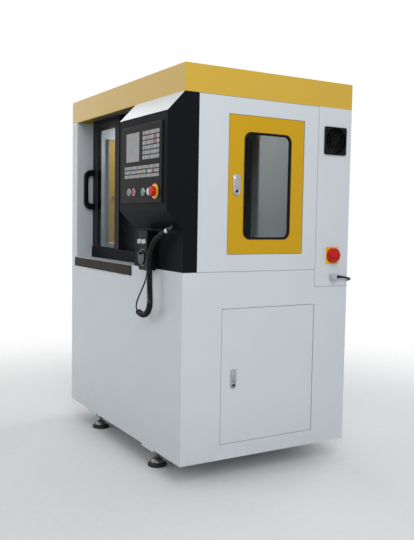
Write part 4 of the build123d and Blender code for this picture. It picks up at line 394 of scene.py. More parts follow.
class Effects:
    """Shader node groups that the finishes share. Each is built once and placed where needed."""

    OUTPUTS: ClassVar[dict[str, str]] = {
        "Colour": "NodeSocketColor",
        "Normal": "NodeSocketVector",
        "Mask": "NodeSocketFloat",
        "Roughness": "NodeSocketFloat",
    }

    def __init__(self) -> None:
        """Builds every group."""
        self._groups: dict[str, bpy.types.ShaderNodeTree] = {}
        self._build("mottle", self._mottle, Colour=GREY, Size=6.0, Amount=0.1)
        self._build("near_floor_tone", self._lower_tone, Colour=GREY, Dust=GREY, Top=0.5, Amount=0.4)
        self._build("fine_relief", self._relief, Size=600.0, Depth=0.00002)
        self._build(
            "brush_marks",
            self._brush,
            Stretch=(40.0, 1500.0, 1500.0),
            Depth=0.00002,
            Colour=GREY,
            Amount=0.2,
        )
        self._build("handled_gloss", self._smudge, Roughness=0.4, Amount=0.15, Size=9.0)
        self._build(
            "panel_outline", self._outline, Middle=(0.0, 0.0, 0.0), Half=(0.1, 0.1, 0.1), Line=0.001
        )
        self._build(
            "sheet_seams",
            self._seams,
            Colour=GREY,
            Depth=0.2385,
            Upper=0.872,
            Lower=0.796,
            Roof=1.5789,
            Side=0.625,
            Line=0.0011,
            Shade=0.35,
        )

    def _build(
        self, name: str, make: Callable[[Graph, Any], dict[str, Socket]], **inputs: Any
    ) -> None:
        """Builds one node group.

        Args:
            name: the group's name.
            make: fills the graph from the input sockets and gives a socket for each output.
            **inputs: first value of each input: a number, three for a vector, four for a colour.
        """
        tree = bpy.data.node_groups.new(name, "ShaderNodeTree")
        for label, value in inputs.items():
            kind = "Float" if isinstance(value, float) else {3: "Vector", 4: "Color"}[len(value)]
            socket = tree.interface.new_socket(
                label, in_out="INPUT", socket_type=f"NodeSocket{kind}"
            )
            socket.default_value = value
        made = make(Graph(tree), tree.nodes.new("NodeGroupInput").outputs)
        for label in made:
            tree.interface.new_socket(label, in_out="OUTPUT", socket_type=self.OUTPUTS[label])
        end = tree.nodes.new("NodeGroupOutput")
        for label, socket in made.items():
            tree.links.new(socket, end.inputs[label])
        self._groups[name] = tree

    def use(self, graph: Graph, name: str, **inputs: Any) -> Any:
        """Outputs of a shared group, placed in a material with these inputs."""
        return graph.add("Group", inputs, node_tree=self._groups[name]).outputs

    def clouded(self, graph: Graph, colour: Any, size: float, amount: float) -> Socket:
        """Colour with clouds of this size."""
        return self.use(graph, "mottle", Colour=colour, Size=size, Amount=amount)["Colour"]

    def grained(self, graph: Graph, size: float, depth: float) -> Socket:
        """Normal of a fine relief."""
        return self.use(graph, "fine_relief", Size=size, Depth=depth)["Normal"]

    def handled(self, graph: Graph, roughness: float, handling: tuple[float, float]) -> Socket:
        """Roughness made uneven by handling: by how much, and how fine its patches are."""
        inputs = {"Roughness": roughness, "Amount": handling[0], "Size": handling[1]}
        return self.use(graph, "handled_gloss", **inputs)["Roughness"]

    @staticmethod
    def _mottle(graph: Graph, given: Any) -> dict[str, Socket]:
        """Uneven depth of colour: the colour times 1 + amount (noise - 1/2)."""
        gain = graph.swing(graph.noise(given["Size"], detail=3.0), given["Amount"], 1.0)
        return {"Colour": graph.scaled(given["Colour"], gain)}

    @staticmethod
    def _lower_tone(graph: Graph, given: Any) -> dict[str, Socket]:
        """Colour that goes in patches towards a darker tone near the floor: a mask from height
        times a patchy noise.

        Args:
            graph: the group's graph.
            given: its inputs, by name.

        Returns:
            Its outputs, by name.
        """
        height = graph.parts(graph.place())["Z"]
        low = graph.add("MapRange", {"Value": height, "From Min": given["Top"], "From Max": 0.0})
        patchy = graph.math("MULTIPLY_CLAMP", low.outputs[0], graph.noise(scale=14.0, detail=6.0))
        mask = graph.math("MULTIPLY_CLAMP", patchy, given["Amount"])
        return {"Colour": graph.mix(mask, given["Colour"], given["Dust"])}

    @staticmethod
    def _relief(graph: Graph, given: Any) -> dict[str, Socket]:
        """Fine even relief, as of powder coat or moulded grain: a bump from noise."""
        return {"Normal": graph.bump(graph.noise(given["Size"], detail=2.0), given["Depth"])}

    @staticmethod
    def _brush(graph: Graph, given: Any) -> dict[str, Socket]:
        """Long thin marks, as of a brush, a grinder or a lathe: noise stretched along one way.

        Args:
            graph: the group's graph.
            given: its inputs, by name.

        Returns:
            Its outputs, by name.
        """
        drawn = graph.add("Mapping", {"Vector": graph.place(), "Scale": given["Stretch"]})
        marks = graph.noise(1.0, detail=3.0, vector=drawn.outputs[0])
        gain = graph.swing(marks, given["Amount"], 1.0)
        return {
            "Normal": graph.bump(marks, given["Depth"]),
            "Colour": graph.scaled(given["Colour"], gain),
        }

    @staticmethod
    def _smudge(graph: Graph, given: Any) -> dict[str, Socket]:
        """Handled gloss: the roughness plus amount (noise - 1/2).

        Args:
            graph: the group's graph.
            given: its inputs, by name.

        Returns:
            Its outputs, by name.
        """
        cloud = graph.noise(given["Size"], detail=5.0)
        rough = graph.swing(cloud, given["Amount"], given["Roughness"], "ADD_CLAMP")
        return {"Roughness": rough}

    @staticmethod
    def _outline(graph: Graph, given: Any) -> dict[str, Socket]:
        """Thin line around a rectangle on an upright front: one where the larger of the distances
        |x - middle| - half width and |z - middle| - half height is near nought.

        Args:
            graph: the group's graph.
            given: its inputs, by name.

        Returns:
            Its outputs, by name.
        """
        offset = graph.vector("SUBTRACT", graph.place(), given["Middle"])
        gap = graph.parts(
            graph.vector("SUBTRACT", graph.vector("ABSOLUTE", offset), given["Half"])
        )
        edge = graph.math("ABSOLUTE", graph.math("MAXIMUM", gap["X"], gap["Z"]))
        return {"Mask": graph.math("LESS_THAN", edge, given["Line"])}

    @staticmethod
    def _seams(graph: Graph, given: Any) -> dict[str, Socket]:
        """Shade of the joints between the cabinet's sheets on its two sides.

        The upright joint lies at one depth, and runs up from the lower of two heights. Ahead of it
        level joints lie at the upper height and under the roof, behind it at the lower height.

        Args:
            graph: the group's graph.
            given: its inputs, by name.

        Returns:
            Its outputs, by name.
        """
        place = graph.parts(graph.place())

        def near(axis: str, label: str) -> Socket:
            """One within a line of the labelled place."""
            gap = graph.math("SUBTRACT", place[axis], given[label])
            return graph.math("LESS_THAN", graph.math("ABSOLUTE", gap), given["Line"])

        behind = graph.math("GREATER_THAN", place["Y"], given["Depth"])
        above = graph.math("GREATER_THAN", place["Z"], given["Lower"])
        levels = graph.math("MAXIMUM", near("Z", "Upper"), near("Z", "Roof"))
        level_ahead = graph.math("MULTIPLY", levels, graph.math("SUBTRACT", 1.0, behind))
        level_behind = graph.math("MULTIPLY", near("Z", "Lower"), behind)
        upright = graph.math("MULTIPLY", near("Y", "Depth"), above)
        lines = graph.math("MAXIMUM", upright, graph.math("MAXIMUM", level_ahead, level_behind))
        across = graph.math("ABSOLUTE", place["X"])
        outside = graph.math("GREATER_THAN", across, given["Side"])
        loss = graph.math("SUBTRACT", 1.0, given["Shade"])
        shade = graph.math("MULTIPLY", graph.math("MULTIPLY", lines, outside), loss)
        gain = graph.math("SUBTRACT", 1.0, shade)
        return {"Colour": graph.scaled(given["Colour"], gain)}


def new_material(name: str, fill: Callable[[Graph], Socket]) -> bpy.types.Material:
    """Material with the shader that a function makes in its empty graph.

    Args:
        name: the material's name.
        fill: gives the shader for an empty graph.

    Returns:
        The material.
    """
    made = bpy.data.materials.new(name)
    made.use_nodes = True
    made.node_tree.nodes.clear()
    graph = Graph(made.node_tree)
    graph.add("OutputMaterial", {"Surface": fill(graph)})
    return made


@dataclass(frozen=True)
class Finish:
    """Base of every finish: a name and the way to a material."""

    name: str

    def material(self, effects: Effects) -> bpy.types.Material:
        """Builds the material of this finish."""
        return new_material(self.name, lambda graph: self.surface(graph, effects))

    def surface(self, graph: Graph, effects: Effects) -> Socket:
        """Builds the shader. Each kind of finish has its own."""
        raise NotImplementedError(self.name)


@dataclass(frozen=True)
class Enamel(Finish):
    """Sprayed or powder coated metal with orange peel, faint clouds and a patchy darker tone near
    the floor.
    """

    colour: Colour
    roughness: float = 0.42
    specular: float = 0.5
    peel: float = 520.0
    depth: float = 0.00003
    clouds: float = 0.06
    # How strongly the enamel goes towards the darker tone near the floor, and below what height.
    darkening: float = 0.0
    darken_below: float = 0.45
    coat: float = 0.0
    seams: bool = False
    cloud_size: ClassVar[float] = 3.2
    handling: ClassVar[tuple[float, float]] = (0.16, 7.0)
    coat_roughness: ClassVar[float] = 0.25

    def cloudy(self, graph: Graph, effects: Effects, colour: Any) -> Socket:
        """A colour with the paint's faint clouds."""
        return effects.clouded(graph, colour, self.cloud_size, self.clouds)

    def paint(self, graph: Graph, effects: Effects) -> tuple[Socket, Any]:
        """Base colour through clouds and the darker tone near the floor, and how metallic it is.

        Args:
            graph: the material's graph.
            effects: the shared groups.

        Returns:
            The colour, and how metallic it is.
        """
        colour = self.cloudy(graph, effects, self.colour)
        darkening = {"Colour": colour, "Dust": LOW_TONE, "Top": self.darken_below, "Amount": self.darkening}
        return effects.use(graph, "near_floor_tone", **darkening)["Colour"], 0.0

    def surface(self, graph: Graph, effects: Effects) -> Socket:
        """Colour from the paint and seams, gloss from handling, relief from the peel.

        Args:
            graph: the material's graph.
            effects: the shared groups.

        Returns:
            The shader.
        """
        colour, metallic = self.paint(graph, effects)
        if self.seams:
            colour = effects.use(graph, "sheet_seams", Colour=colour)["Colour"]
        return graph.principled(
            {
                "Base Color": colour,
                "Metallic": metallic,
                "Roughness": effects.handled(graph, self.roughness, self.handling),
                "Specular IOR Level": self.specular,
                "Coat Weight": self.coat,
                "Coat Roughness": self.coat_roughness,
                "Normal": effects.grained(graph, self.peel, self.depth),
            }
        )


@dataclass(frozen=True)
class FramedEnamel(Enamel):
    """Enamel of an upright front with a thin dark groove around a rectangle."""

    middle: Point = (0.0, 0.0, 0.0)
    half: Point = (0.1, 0.1, 0.1)
    line: float = 0.0012
    groove_shade: float = 0.15

    def paint(self, graph: Graph, effects: Effects) -> tuple[Socket, Any]:
        """Enamel whose colour darkens in the groove.

        Args:
            graph: the material's graph.
            effects: the shared groups.

        Returns:
            The colour, and how metallic it is.
        """
        frame = {"Middle": self.middle, "Half": self.half, "Line": self.line}
        groove = effects.use(graph, "panel_outline", **frame)["Mask"]
        dark = tuple(self.groove_shade * part for part in self.colour)
        return graph.mix(groove, self.cloudy(graph, effects, self.colour), dark), 0.0


@dataclass(frozen=True)
class ElectricalBox(Enamel):
    """Enamelled box whose mounting plate is zinc plated and whose devices are dark plastic.

    The plate and the devices lie inside a block of space. They part at the plate's outer face, and
    drives and smaller devices part at a height.
    """

    low: Point = (-0.541, 0.2495, 0.857)
    high: Point = (0.541, 0.3645, 1.519)
    plate_face: float = 0.2537
    split: float = 1.2
    zinc: Colour = (0.27, 0.28, 0.28)
    drive: Colour = (0.075, 0.08, 0.085)
    device: Colour = (0.016, 0.0165, 0.018)

    def paint(self, graph: Graph, effects: Effects) -> tuple[Socket, Any]:
        """Enamel outside the block, zinc on the plate, two dark plastics on the devices.

        Args:
            graph: the material's graph.
            effects: the shared groups.

        Returns:
            The colour, and how metallic it is.
        """
        place = graph.parts(graph.place())
        block: Any = 1.0
        for operation, corner in (("GREATER_THAN", self.low), ("LESS_THAN", self.high)):
            for axis, limit in zip("XYZ", corner):
                block = graph.math("MULTIPLY", block, graph.math(operation, place[axis], limit))
        beyond = graph.math("GREATER_THAN", place["Y"], self.plate_face)
        device = graph.math("MULTIPLY", block, beyond)
        plate = graph.math("SUBTRACT", block, device)
        upper = graph.math("GREATER_THAN", place["Z"], self.split)
        plastic = graph.mix(upper, self.device, self.drive)
        painted = graph.mix(plate, self.colour, self.zinc)
        return self.cloudy(graph, effects, graph.mix(device, painted, plastic)), plate


@dataclass(frozen=True)
class Metal(Finish):
    """Bare or plated metal with long fine marks."""

    colour: Colour
    roughness: float = 0.3
    stretch: Point = (60.0, 1400.0, 1400.0)
    depth: float = 0.00002
    streaks: float = 0.25
    handling: ClassVar[tuple[float, float]] = (0.2, 24.0)

    def surface(self, graph: Graph, effects: Effects) -> Socket:
        """Colour and relief from the marks, gloss from handling.

        Args:
            graph: the material's graph.
            effects: the shared groups.

        Returns:
            The shader.
        """
        brush = {"Stretch": self.stretch, "Depth": self.depth, "Amount": self.streaks}
        marks = effects.use(graph, "brush_marks", Colour=self.colour, **brush)
        return graph.principled(
            {
                "Base Color": marks["Colour"],
                "Metallic": 1.0,
                "Roughness": effects.handled(graph, self.roughness, self.handling),
                "Normal": marks["Normal"],
            }
        )


@dataclass(frozen=True)
class Moulded(Finish):
    """Moulded plastic or rubber with a fine grain and uneven gloss."""

    colour: Colour
    roughness: float = 0.45
    grain: float = 1600.0
    depth: float = 0.00004
    clouds: float = 0.12
    coat: float = 0.0
    specular: float = 0.5
    cloud_size: ClassVar[float] = 40.0
    handling: ClassVar[tuple[float, float]] = (0.18, 40.0)
    coat_roughness: ClassVar[float] = 0.12

    def paint(self, graph: Graph) -> Any:
        """The plastic's own colour."""
        return self.colour

    def surface(self, graph: Graph, effects: Effects) -> Socket:
        """Colour through faint clouds, gloss from handling, relief from the mould's grain.

        Args:
            graph: the material's graph.
            effects: the shared groups.

        Returns:
            The shader.
        """
        return graph.principled(
            {
                "Base Color": effects.clouded(
                    graph, self.paint(graph), self.cloud_size, self.clouds
                ),
                "Roughness": effects.handled(graph, self.roughness, self.handling),
                "Specular IOR Level": self.specular,
                "Coat Weight": self.coat,
                "Coat Roughness": self.coat_roughness,
                "Normal": effects.grained(graph, self.grain, self.depth),
            }
        )


@dataclass(frozen=True)
class TintedMoulded(Moulded):
    """Moulded plastic whose colour is painted on the mesh, one tint for each cap."""

    cloud_size: ClassVar[float] = 90.0
    handling: ClassVar[tuple[float, float]] = (0.18, 60.0)

    def paint(self, graph: Graph) -> Any:
        """The mesh's own colours."""
        return graph.add("Attribute", attribute_name=TINT).outputs["Color"]


@dataclass(frozen=True)
class Pane(Finish):
    """Clear sheet of a window, with faint wiped streaks."""

    tint: Colour
    roughness: float = 0.02
    refraction: float = 1.1
    handling: ClassVar[tuple[float, float]] = (0.05, 14.0)

    def surface(self, graph: Graph, effects: Effects) -> Socket:
        """Glass for the eye, and a tinted clear sheet for the light that falls through it.

        Args:
            graph: the material's graph.
            effects: the shared groups.

        Returns:
            The shader.
        """
        glass = graph.principled(
            {
                "Base Color": self.tint,
                "Roughness": effects.handled(graph, self.roughness, self.handling),
                "IOR": self.refraction,
                "Transmission Weight": 1.0,
            }
        )
        clear = graph.add("BsdfTransparent", {"Color": self.tint})
        path = graph.add("LightPath").outputs
        lit = graph.math("MAXIMUM", path["Is Shadow Ray"], path["Is Diffuse Ray"])
        return graph.blend(lit, glass, clear.outputs[0])


@dataclass(frozen=True)
class PartPlated(Finish):
    """One piece of two stuffs: a dark one, as the foot's rubber pad, and plated steel beyond a
    plane.

    The plane is square to a way, and what lies further along it than a distance is plated. Clouds
    and grain are a size and an amount each, roughness is the dark stuff's and the plated one's.
    """

    way: Point
    distance: float
    dark: Colour
    plating: Colour
    clouds: tuple[float, float]
    grain: tuple[float, float]
    roughness: tuple[float, float]
    specular: float = 0.5

    def gloss(self, graph: Graph, plated: Socket) -> Any:
        """Roughness, a plain number where both stuffs have the same.

        Args:
            graph: the material's graph.
            plated: one where the piece is plated.

        Returns:
            The number or the socket.
        """
        rough, smooth = self.roughness
        if rough == smooth:
            return rough
        return graph.math("MULTIPLY_ADD", plated, smooth - rough, rough)

    def surface(self, graph: Graph, effects: Effects) -> Socket:
        """Both stuffs, parted at the plane.

        Args:
            graph: the material's graph.
            effects: the shared groups.

        Returns:
            The shader.
        """
        along = graph.vector("DOT_PRODUCT", graph.place(), self.way, output="Value")
        plated = graph.math("GREATER_THAN", along, self.distance)
        colour = graph.mix(plated, self.dark, self.plating)
        return graph.principled(
            {
                "Base Color": effects.clouded(graph, colour, *self.clouds),
                "Metallic": plated,
                "Roughness": self.gloss(graph, plated),
                "Specular IOR Level": self.specular,
                "Normal": effects.grained(graph, *self.grain),
            }
        )


CABINET_WHITE = (0.61, 0.651, 0.687)
CASTING = {"peel": 180.0, "depth": 0.0002, "clouds": 0.14}
FINISHES: dict[str, Finish] = {
    # The white panels go darker in patches below about a third of a metre.
    "panel_white": Enamel(
        "white_powder_coat", CABINET_WHITE, darkening=0.3, darken_below=0.32, coat=0.15, seams=True
    ),
    "electrical_box": ElectricalBox("electrical_box_coat", CABINET_WHITE, coat=0.15, seams=True),
    "machine_yellow": Enamel("yellow_powder_coat", (0.60, 0.375, 0.017), 0.34, 0.5, coat=0.4),
    "door_yellow": Enamel("yellow_door_coat", (0.59, 0.34, 0.012), 0.38, 0.15),
    "console_black": Enamel("console_powder_coat", (0.0062, 0.007, 0.0088), 0.5, 0.04),
    "frame_black": Enamel("frame_powder_coat", (0.0052, 0.0058, 0.0066), 0.5, 0.04),
    "leaf_grey": Enamel("door_leaf_powder_coat", (0.0155, 0.0175, 0.020), 0.46, 0.08),
    "sill_brown": Enamel("sill_paint", (0.034, 0.027, 0.0225), 0.5, 0.05, clouds=0.4),
    "tank_grey": Enamel("tank_paint", (0.21, 0.24, 0.26), 0.45, clouds=0.15),
    "casting_paint": Enamel("casting_enamel", (0.5, 0.55, 0.57), 0.4, **CASTING),
    # The column alone among the castings is given a near black colour.
    "dark_column": Enamel("near_black_column", (0.017, 0.021, 0.027), 0.45, 0.15, **CASTING),
    "zinc_steel": Metal("zinc_plate", (0.55, 0.56, 0.55), 0.36, (300.0, 300.0, 60.0)),
    "stainless": Metal("stainless_sheet", (0.56, 0.57, 0.58), 0.32, (40.0, 1500.0, 1500.0)),
    "bare_aluminium": Metal("satin_aluminium", (0.66, 0.67, 0.68), 0.34, (1400.0, 1400.0, 40.0)),
    "dial_steel": Metal("turned_aluminium", (0.055, 0.057, 0.06), 0.3, (900.0, 60.0, 900.0)),
    "plated": Metal("bright_plate", (0.72, 0.73, 0.74), 0.14, (200.0, 200.0, 200.0), 0.000005),
    "ground_iron": Metal("ground_iron", (0.36, 0.365, 0.37), 0.38, (25.0, 2200.0, 400.0), 0.00004),
    "tool_steel": Metal("tool_steel", (0.42, 0.43, 0.44), 0.24, (1200.0, 1200.0, 60.0)),
    "latch_plate": Metal("satin_nickel", (0.36, 0.37, 0.385), 0.26, (90.0, 90.0, 900.0)),
    "clear_pane": Pane("window_pane", (0.84, 0.88, 0.885)),
    # The display's mid-grey base colour is painted reflection of the pale sky over its dark glass;
    # the coat adds real gloss on top.
    "screen_glass": Moulded(
        "display_painted_sky_reflection", (0.20, 0.205, 0.215), 0.16, 300.0, 0.000004, clouds=0.5, coat=0.6
    ),
    "black_plastic": Moulded("black_moulding", (0.0045, 0.0048, 0.0053), 0.42, specular=0.08),
    "key_grey": Moulded("key_mat", (0.012, 0.0125, 0.0135), 0.5, specular=0.1),
    "switch_yellow": Moulded("yellow_moulding", (0.80, 0.42, 0.010), 0.32, coat=0.1, specular=0.3),
    "switch_red": Moulded("red_moulding", (0.50, 0.009, 0.006), 0.34, coat=0.08, specular=0.2),
    "button_green": Moulded("green_cap", (0.012, 0.19, 0.11), 0.25, coat=0.4),
    "button_white": Moulded("pale_cap", (0.66, 0.68, 0.67), 0.28, coat=0.3),
    "seal_rubber": Moulded(
        "black_rubber", (0.008, 0.0083, 0.009), 0.6, 700.0, 0.00006, specular=0.12
    ),
    "cord_rubber": Moulded(
        "cord_sheath", (0.005, 0.0052, 0.0057), 0.38, 1100.0, 0.00005, specular=0.18
    ),
    "gland_grey": Moulded("grey_nylon", (0.46, 0.48, 0.49), 0.4),
    # The connector is given a dark colour all over but for its nut, which is plated.
    "connector": PartPlated(
        "connector_shell_and_nut",
        way=(-0.9397, 0.0, -0.3420),
        distance=-0.88977,
        dark=(0.008, 0.008, 0.009),
        plating=(0.62, 0.63, 0.64),
        clouds=(60.0, 0.2),
        grain=(1200.0, 0.00003),
        roughness=(0.24, 0.24),
        specular=0.3,
    ),
    "foot": PartPlated(
        "foot_rubber_and_shaded_steel",
        way=(0.0, 0.0, 1.0),
        distance=0.018,
        dark=(0.010, 0.010, 0.010),
        # The steel is far darker than plated steel: painted shade of the space under the cabinet.
        plating=(0.15, 0.15, 0.148),
        clouds=(30.0, 0.3),
        grain=(900.0, 0.00005),
        roughness=(0.75, 0.35),
    ),
}


class Wardrobe:
    """The materials of the finishes, each made when it is first asked for."""

    def __init__(self) -> None:
        """Builds the shared effects and dresses nothing yet."""
        self.effects = Effects()
        self._made: dict[str, bpy.types.Material] = {}

    def of(self, key: str) -> bpy.types.Material:
        """The material of a slot's finish.

        Args:
            key: the finish's key in the table.

        Returns:
            The material.
        """
        if key not in self._made:
            self._made[key] = FINISHES[key].material(self.effects)
        return self._made[key]

    def dress(self, item: bpy.types.Object, material: bpy.types.Material) -> None:
        """Gives a frame node its material in every one of its slots.

        Args:
            item: the node's object.
            material: what it wears.
        """
        if not item.data.materials:
            item.data.materials.append(material)
        for number in range(len(item.data.materials)):
            item.data.materials[number] = material


# Camera, light and floor


def placed(right: np.ndarray, up: np.ndarray, back: np.ndarray, place: Point) -> Matrix:
    """Placement from three axes and a place. A camera or a lamp looks along minus the third.

    Args:
        right: its own x axis.
        up: its own y axis.
        back: its own z axis.
        place: where it stands.

    Returns:
        The placement.
    """
    matrix = np.eye(4)
    matrix[:3, :] = np.column_stack([right, up, back, place])
    return Matrix(matrix.tolist())


@dataclass(frozen=True)
class Lamp:
    """A square area lamp: its place, what it is turned towards, its side and its watts."""

    name: str
    place: Point
    aim: Point
    size: float
    power: float
    colour: Colour = WHITE

    def build(self) -> None:
        """Makes the lamp, unseen by the eye, also through glass."""
        data = bpy.data.lights.new(self.name, "AREA")
        data.size = self.size
        data.energy = self.power
        data.color = self.colour
        item = bpy.data.objects.new(self.name, data)
        back = np.array(self.place) - np.array(self.aim)
        back = back / np.linalg.norm(back)
        side = np.cross((0.0, 1.0, 0.001), back)
        side = side / np.linalg.norm(side)
        item.matrix_world = placed(side, np.cross(back, side), back, self.place)
        item.visible_camera = False
        item.visible_transmission = False
        bpy.context.scene.collection.objects.link(item)
        LOG.info("lamp %s of %.1f W", self.name, self.power)


@dataclass
class Studio:
    """Camera at the picture's angle, soft lamps, a pale world and the floor."""

    position: Point = (3.1112, -1.7764, 1.0880)
    azimuth: float = 59.4859
    elevation: float = 4.0940
    roll: float = 0.9810
    lens: float = 48.046
    sensor: float = 36.0
    ambient: Colour = (0.92, 0.96, 1.0)
    ambient_strength: float = 0.32
    floor_half: float = 9.0
    fade_from: float = 1.3
    fade_to: float = 3.4
    tones: tuple[Colour, Colour] = ((0.68, 0.68, 0.68), (0.74, 0.74, 0.74))
    lamps: tuple[Lamp, ...] = (
        Lamp("key", (3.6, -1.2, 3.0), (0.0, 0.0, 0.9), 3.0, 102.0),
        Lamp("front", (-1.6, -4.2, 2.6), (0.0, 0.0, 0.9), 3.0, 51.0, (1.0, 0.98, 0.95)),
        Lamp("sky", (0.3, 0.2, 4.6), (0.0, 0.0, 0.0), 3.5, 20.0, (0.95, 0.98, 1.0)),
        Lamp("back", (-1.0, 4.2, 2.6), (0.0, 0.0, 0.9), 3.0, 84.0),
        Lamp("left", (-4.2, 0.4, 2.4), (0.0, 0.0, 0.9), 3.0, 84.0),
        Lamp("inside", (0.158, -0.25, 1.56), (0.3, 0.238, 1.1), 0.03, 1.2),
        Lamp("inside_left", (-0.36, -0.04, 1.52), (-0.607, -0.25, 1.15), 0.1, 0.85),
    )

    def build(self) -> None:
        """Makes the camera first, then light and floor."""
        self.camera()
        for lamp in self.lamps:
            lamp.build()
        self.world()
        self.floor()

    def camera(self) -> None:
        """Camera whose axes follow from its azimuth, elevation and roll."""
        azimuth, elevation, roll = np.radians((self.azimuth, self.elevation, self.roll))
        level = np.cos(elevation)
        view = np.array([-np.sin(azimuth) * level, np.cos(azimuth) * level, -np.sin(elevation)])
        right = np.array([np.cos(azimuth), np.sin(azimuth), 0.0])
        up = np.cross(right, view)
        tilted_right = np.cos(roll) * right + np.sin(roll) * up
        tilted_up = np.cos(roll) * up - np.sin(roll) * right
        data = bpy.data.cameras.new("camera")
        data.lens = self.lens
        data.sensor_width = self.sensor
        item = bpy.data.objects.new("camera", data)
        item.matrix_world = placed(tilted_right, tilted_up, -view, self.position)
        bpy.context.scene.collection.objects.link(item)
        bpy.context.scene.camera = item
        LOG.info("camera stands at %s", self.position)

    def world(self) -> None:
        """Even ambient light, with plain white for the eye, in gloss and through glass."""
        world = bpy.data.worlds.new("studio")
        bpy.context.scene.world = world
        world.use_nodes = True
        world.node_tree.nodes.clear()
        graph = Graph(world.node_tree)
        path = graph.add("LightPath").outputs
        mirrored = graph.math("MAXIMUM", path["Is Glossy Ray"], path["Is Transmission Ray"])
        seen = graph.math("MAXIMUM", path["Is Camera Ray"], mirrored)
        ambient = {"Color": self.ambient, "Strength": self.ambient_strength}
        dim = graph.add("Background", ambient).outputs[0]
        white = graph.add("Background", {"Color": WHITE, "Strength": 1.0}).outputs[0]
        graph.add("OutputWorld", {"Surface": graph.blend(seen, dim, white)})
        bpy.context.scene.view_settings.view_transform = "Standard"

    def floor(self) -> None:
        """Pale floor that fades into the white background away from the machine."""
        half = self.floor_half
        mesh = bpy.data.meshes.new("floor")
        corners = [(-half, -half, 0.0), (half, -half, 0.0), (half, half, 0.0), (-half, half, 0.0)]
        mesh.from_pydata(corners, [], [[0, 1, 2, 3]])
        mesh.materials.append(new_material("studio_floor", self.floor_surface))
        item = bpy.data.objects.new("floor", mesh)
        bpy.context.scene.collection.objects.link(item)

    def floor_surface(self, graph: Graph) -> Socket:
        """Pale mottled ground near the machine, nothing far from it.

        Args:
            graph: the floor material's graph.

        Returns:
            The shader.
        """
        reach = graph.vector("LENGTH", graph.place(), output="Value")
        fade = graph.add(
            "MapRange",
            {"Value": reach, "From Min": self.fade_from, "From Max": self.fade_to},
            interpolation_type="SMOOTHSTEP",
        ).outputs[0]
        tone = graph.mix(graph.noise(scale=30.0, detail=5.0), *self.tones)
        pale = graph.add("BsdfDiffuse", {"Color": tone}).outputs[0]
        return graph.blend(fade, pale, graph.add("BsdfTransparent").outputs[0])


# Sub-assemblies


@dataclass
class Assembly:
    """Base of the sub-assemblies: holds the finishes and makes finished pieces."""

    wardrobe: Wardrobe

    def piece(
        self,
        name: str,
        shell: Shell,
        body: str,
        slot: str,
        material: bpy.types.Material | None = None,
        replaces: Sequence[str] = (),
    ) -> bpy.types.Object:
        """Turns a shell into a finished piece that rides on a body.

        Args:
            name: the piece's name.
            shell: its surface.
            body: the frame's body that it moves with.
            slot: the record's material slot that its finish belongs to.
            material: its finish where that isn't the slot's own.
            replaces: frame nodes that it stands for.

        Returns:
            The piece.
        """
        mesh = bpy.data.meshes.new(name)
        mesh.from_pydata(shell.points.tolist(), [], shell.faces)
        mesh.update()
        mesh.shade_smooth()
        mesh.set_sharp_from_angle(angle=SHARP_EDGE)
        mesh.materials.append(material or self.wardrobe.of(slot))
        item = bpy.data.objects.new(name, mesh)
        bpy.context.scene.collection.objects.link(item)
        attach(item, body)
        if replaces:
            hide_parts(*replaces)
        LOG.info("%s: %d faces on %s", name, len(mesh.polygons), body)
        return item


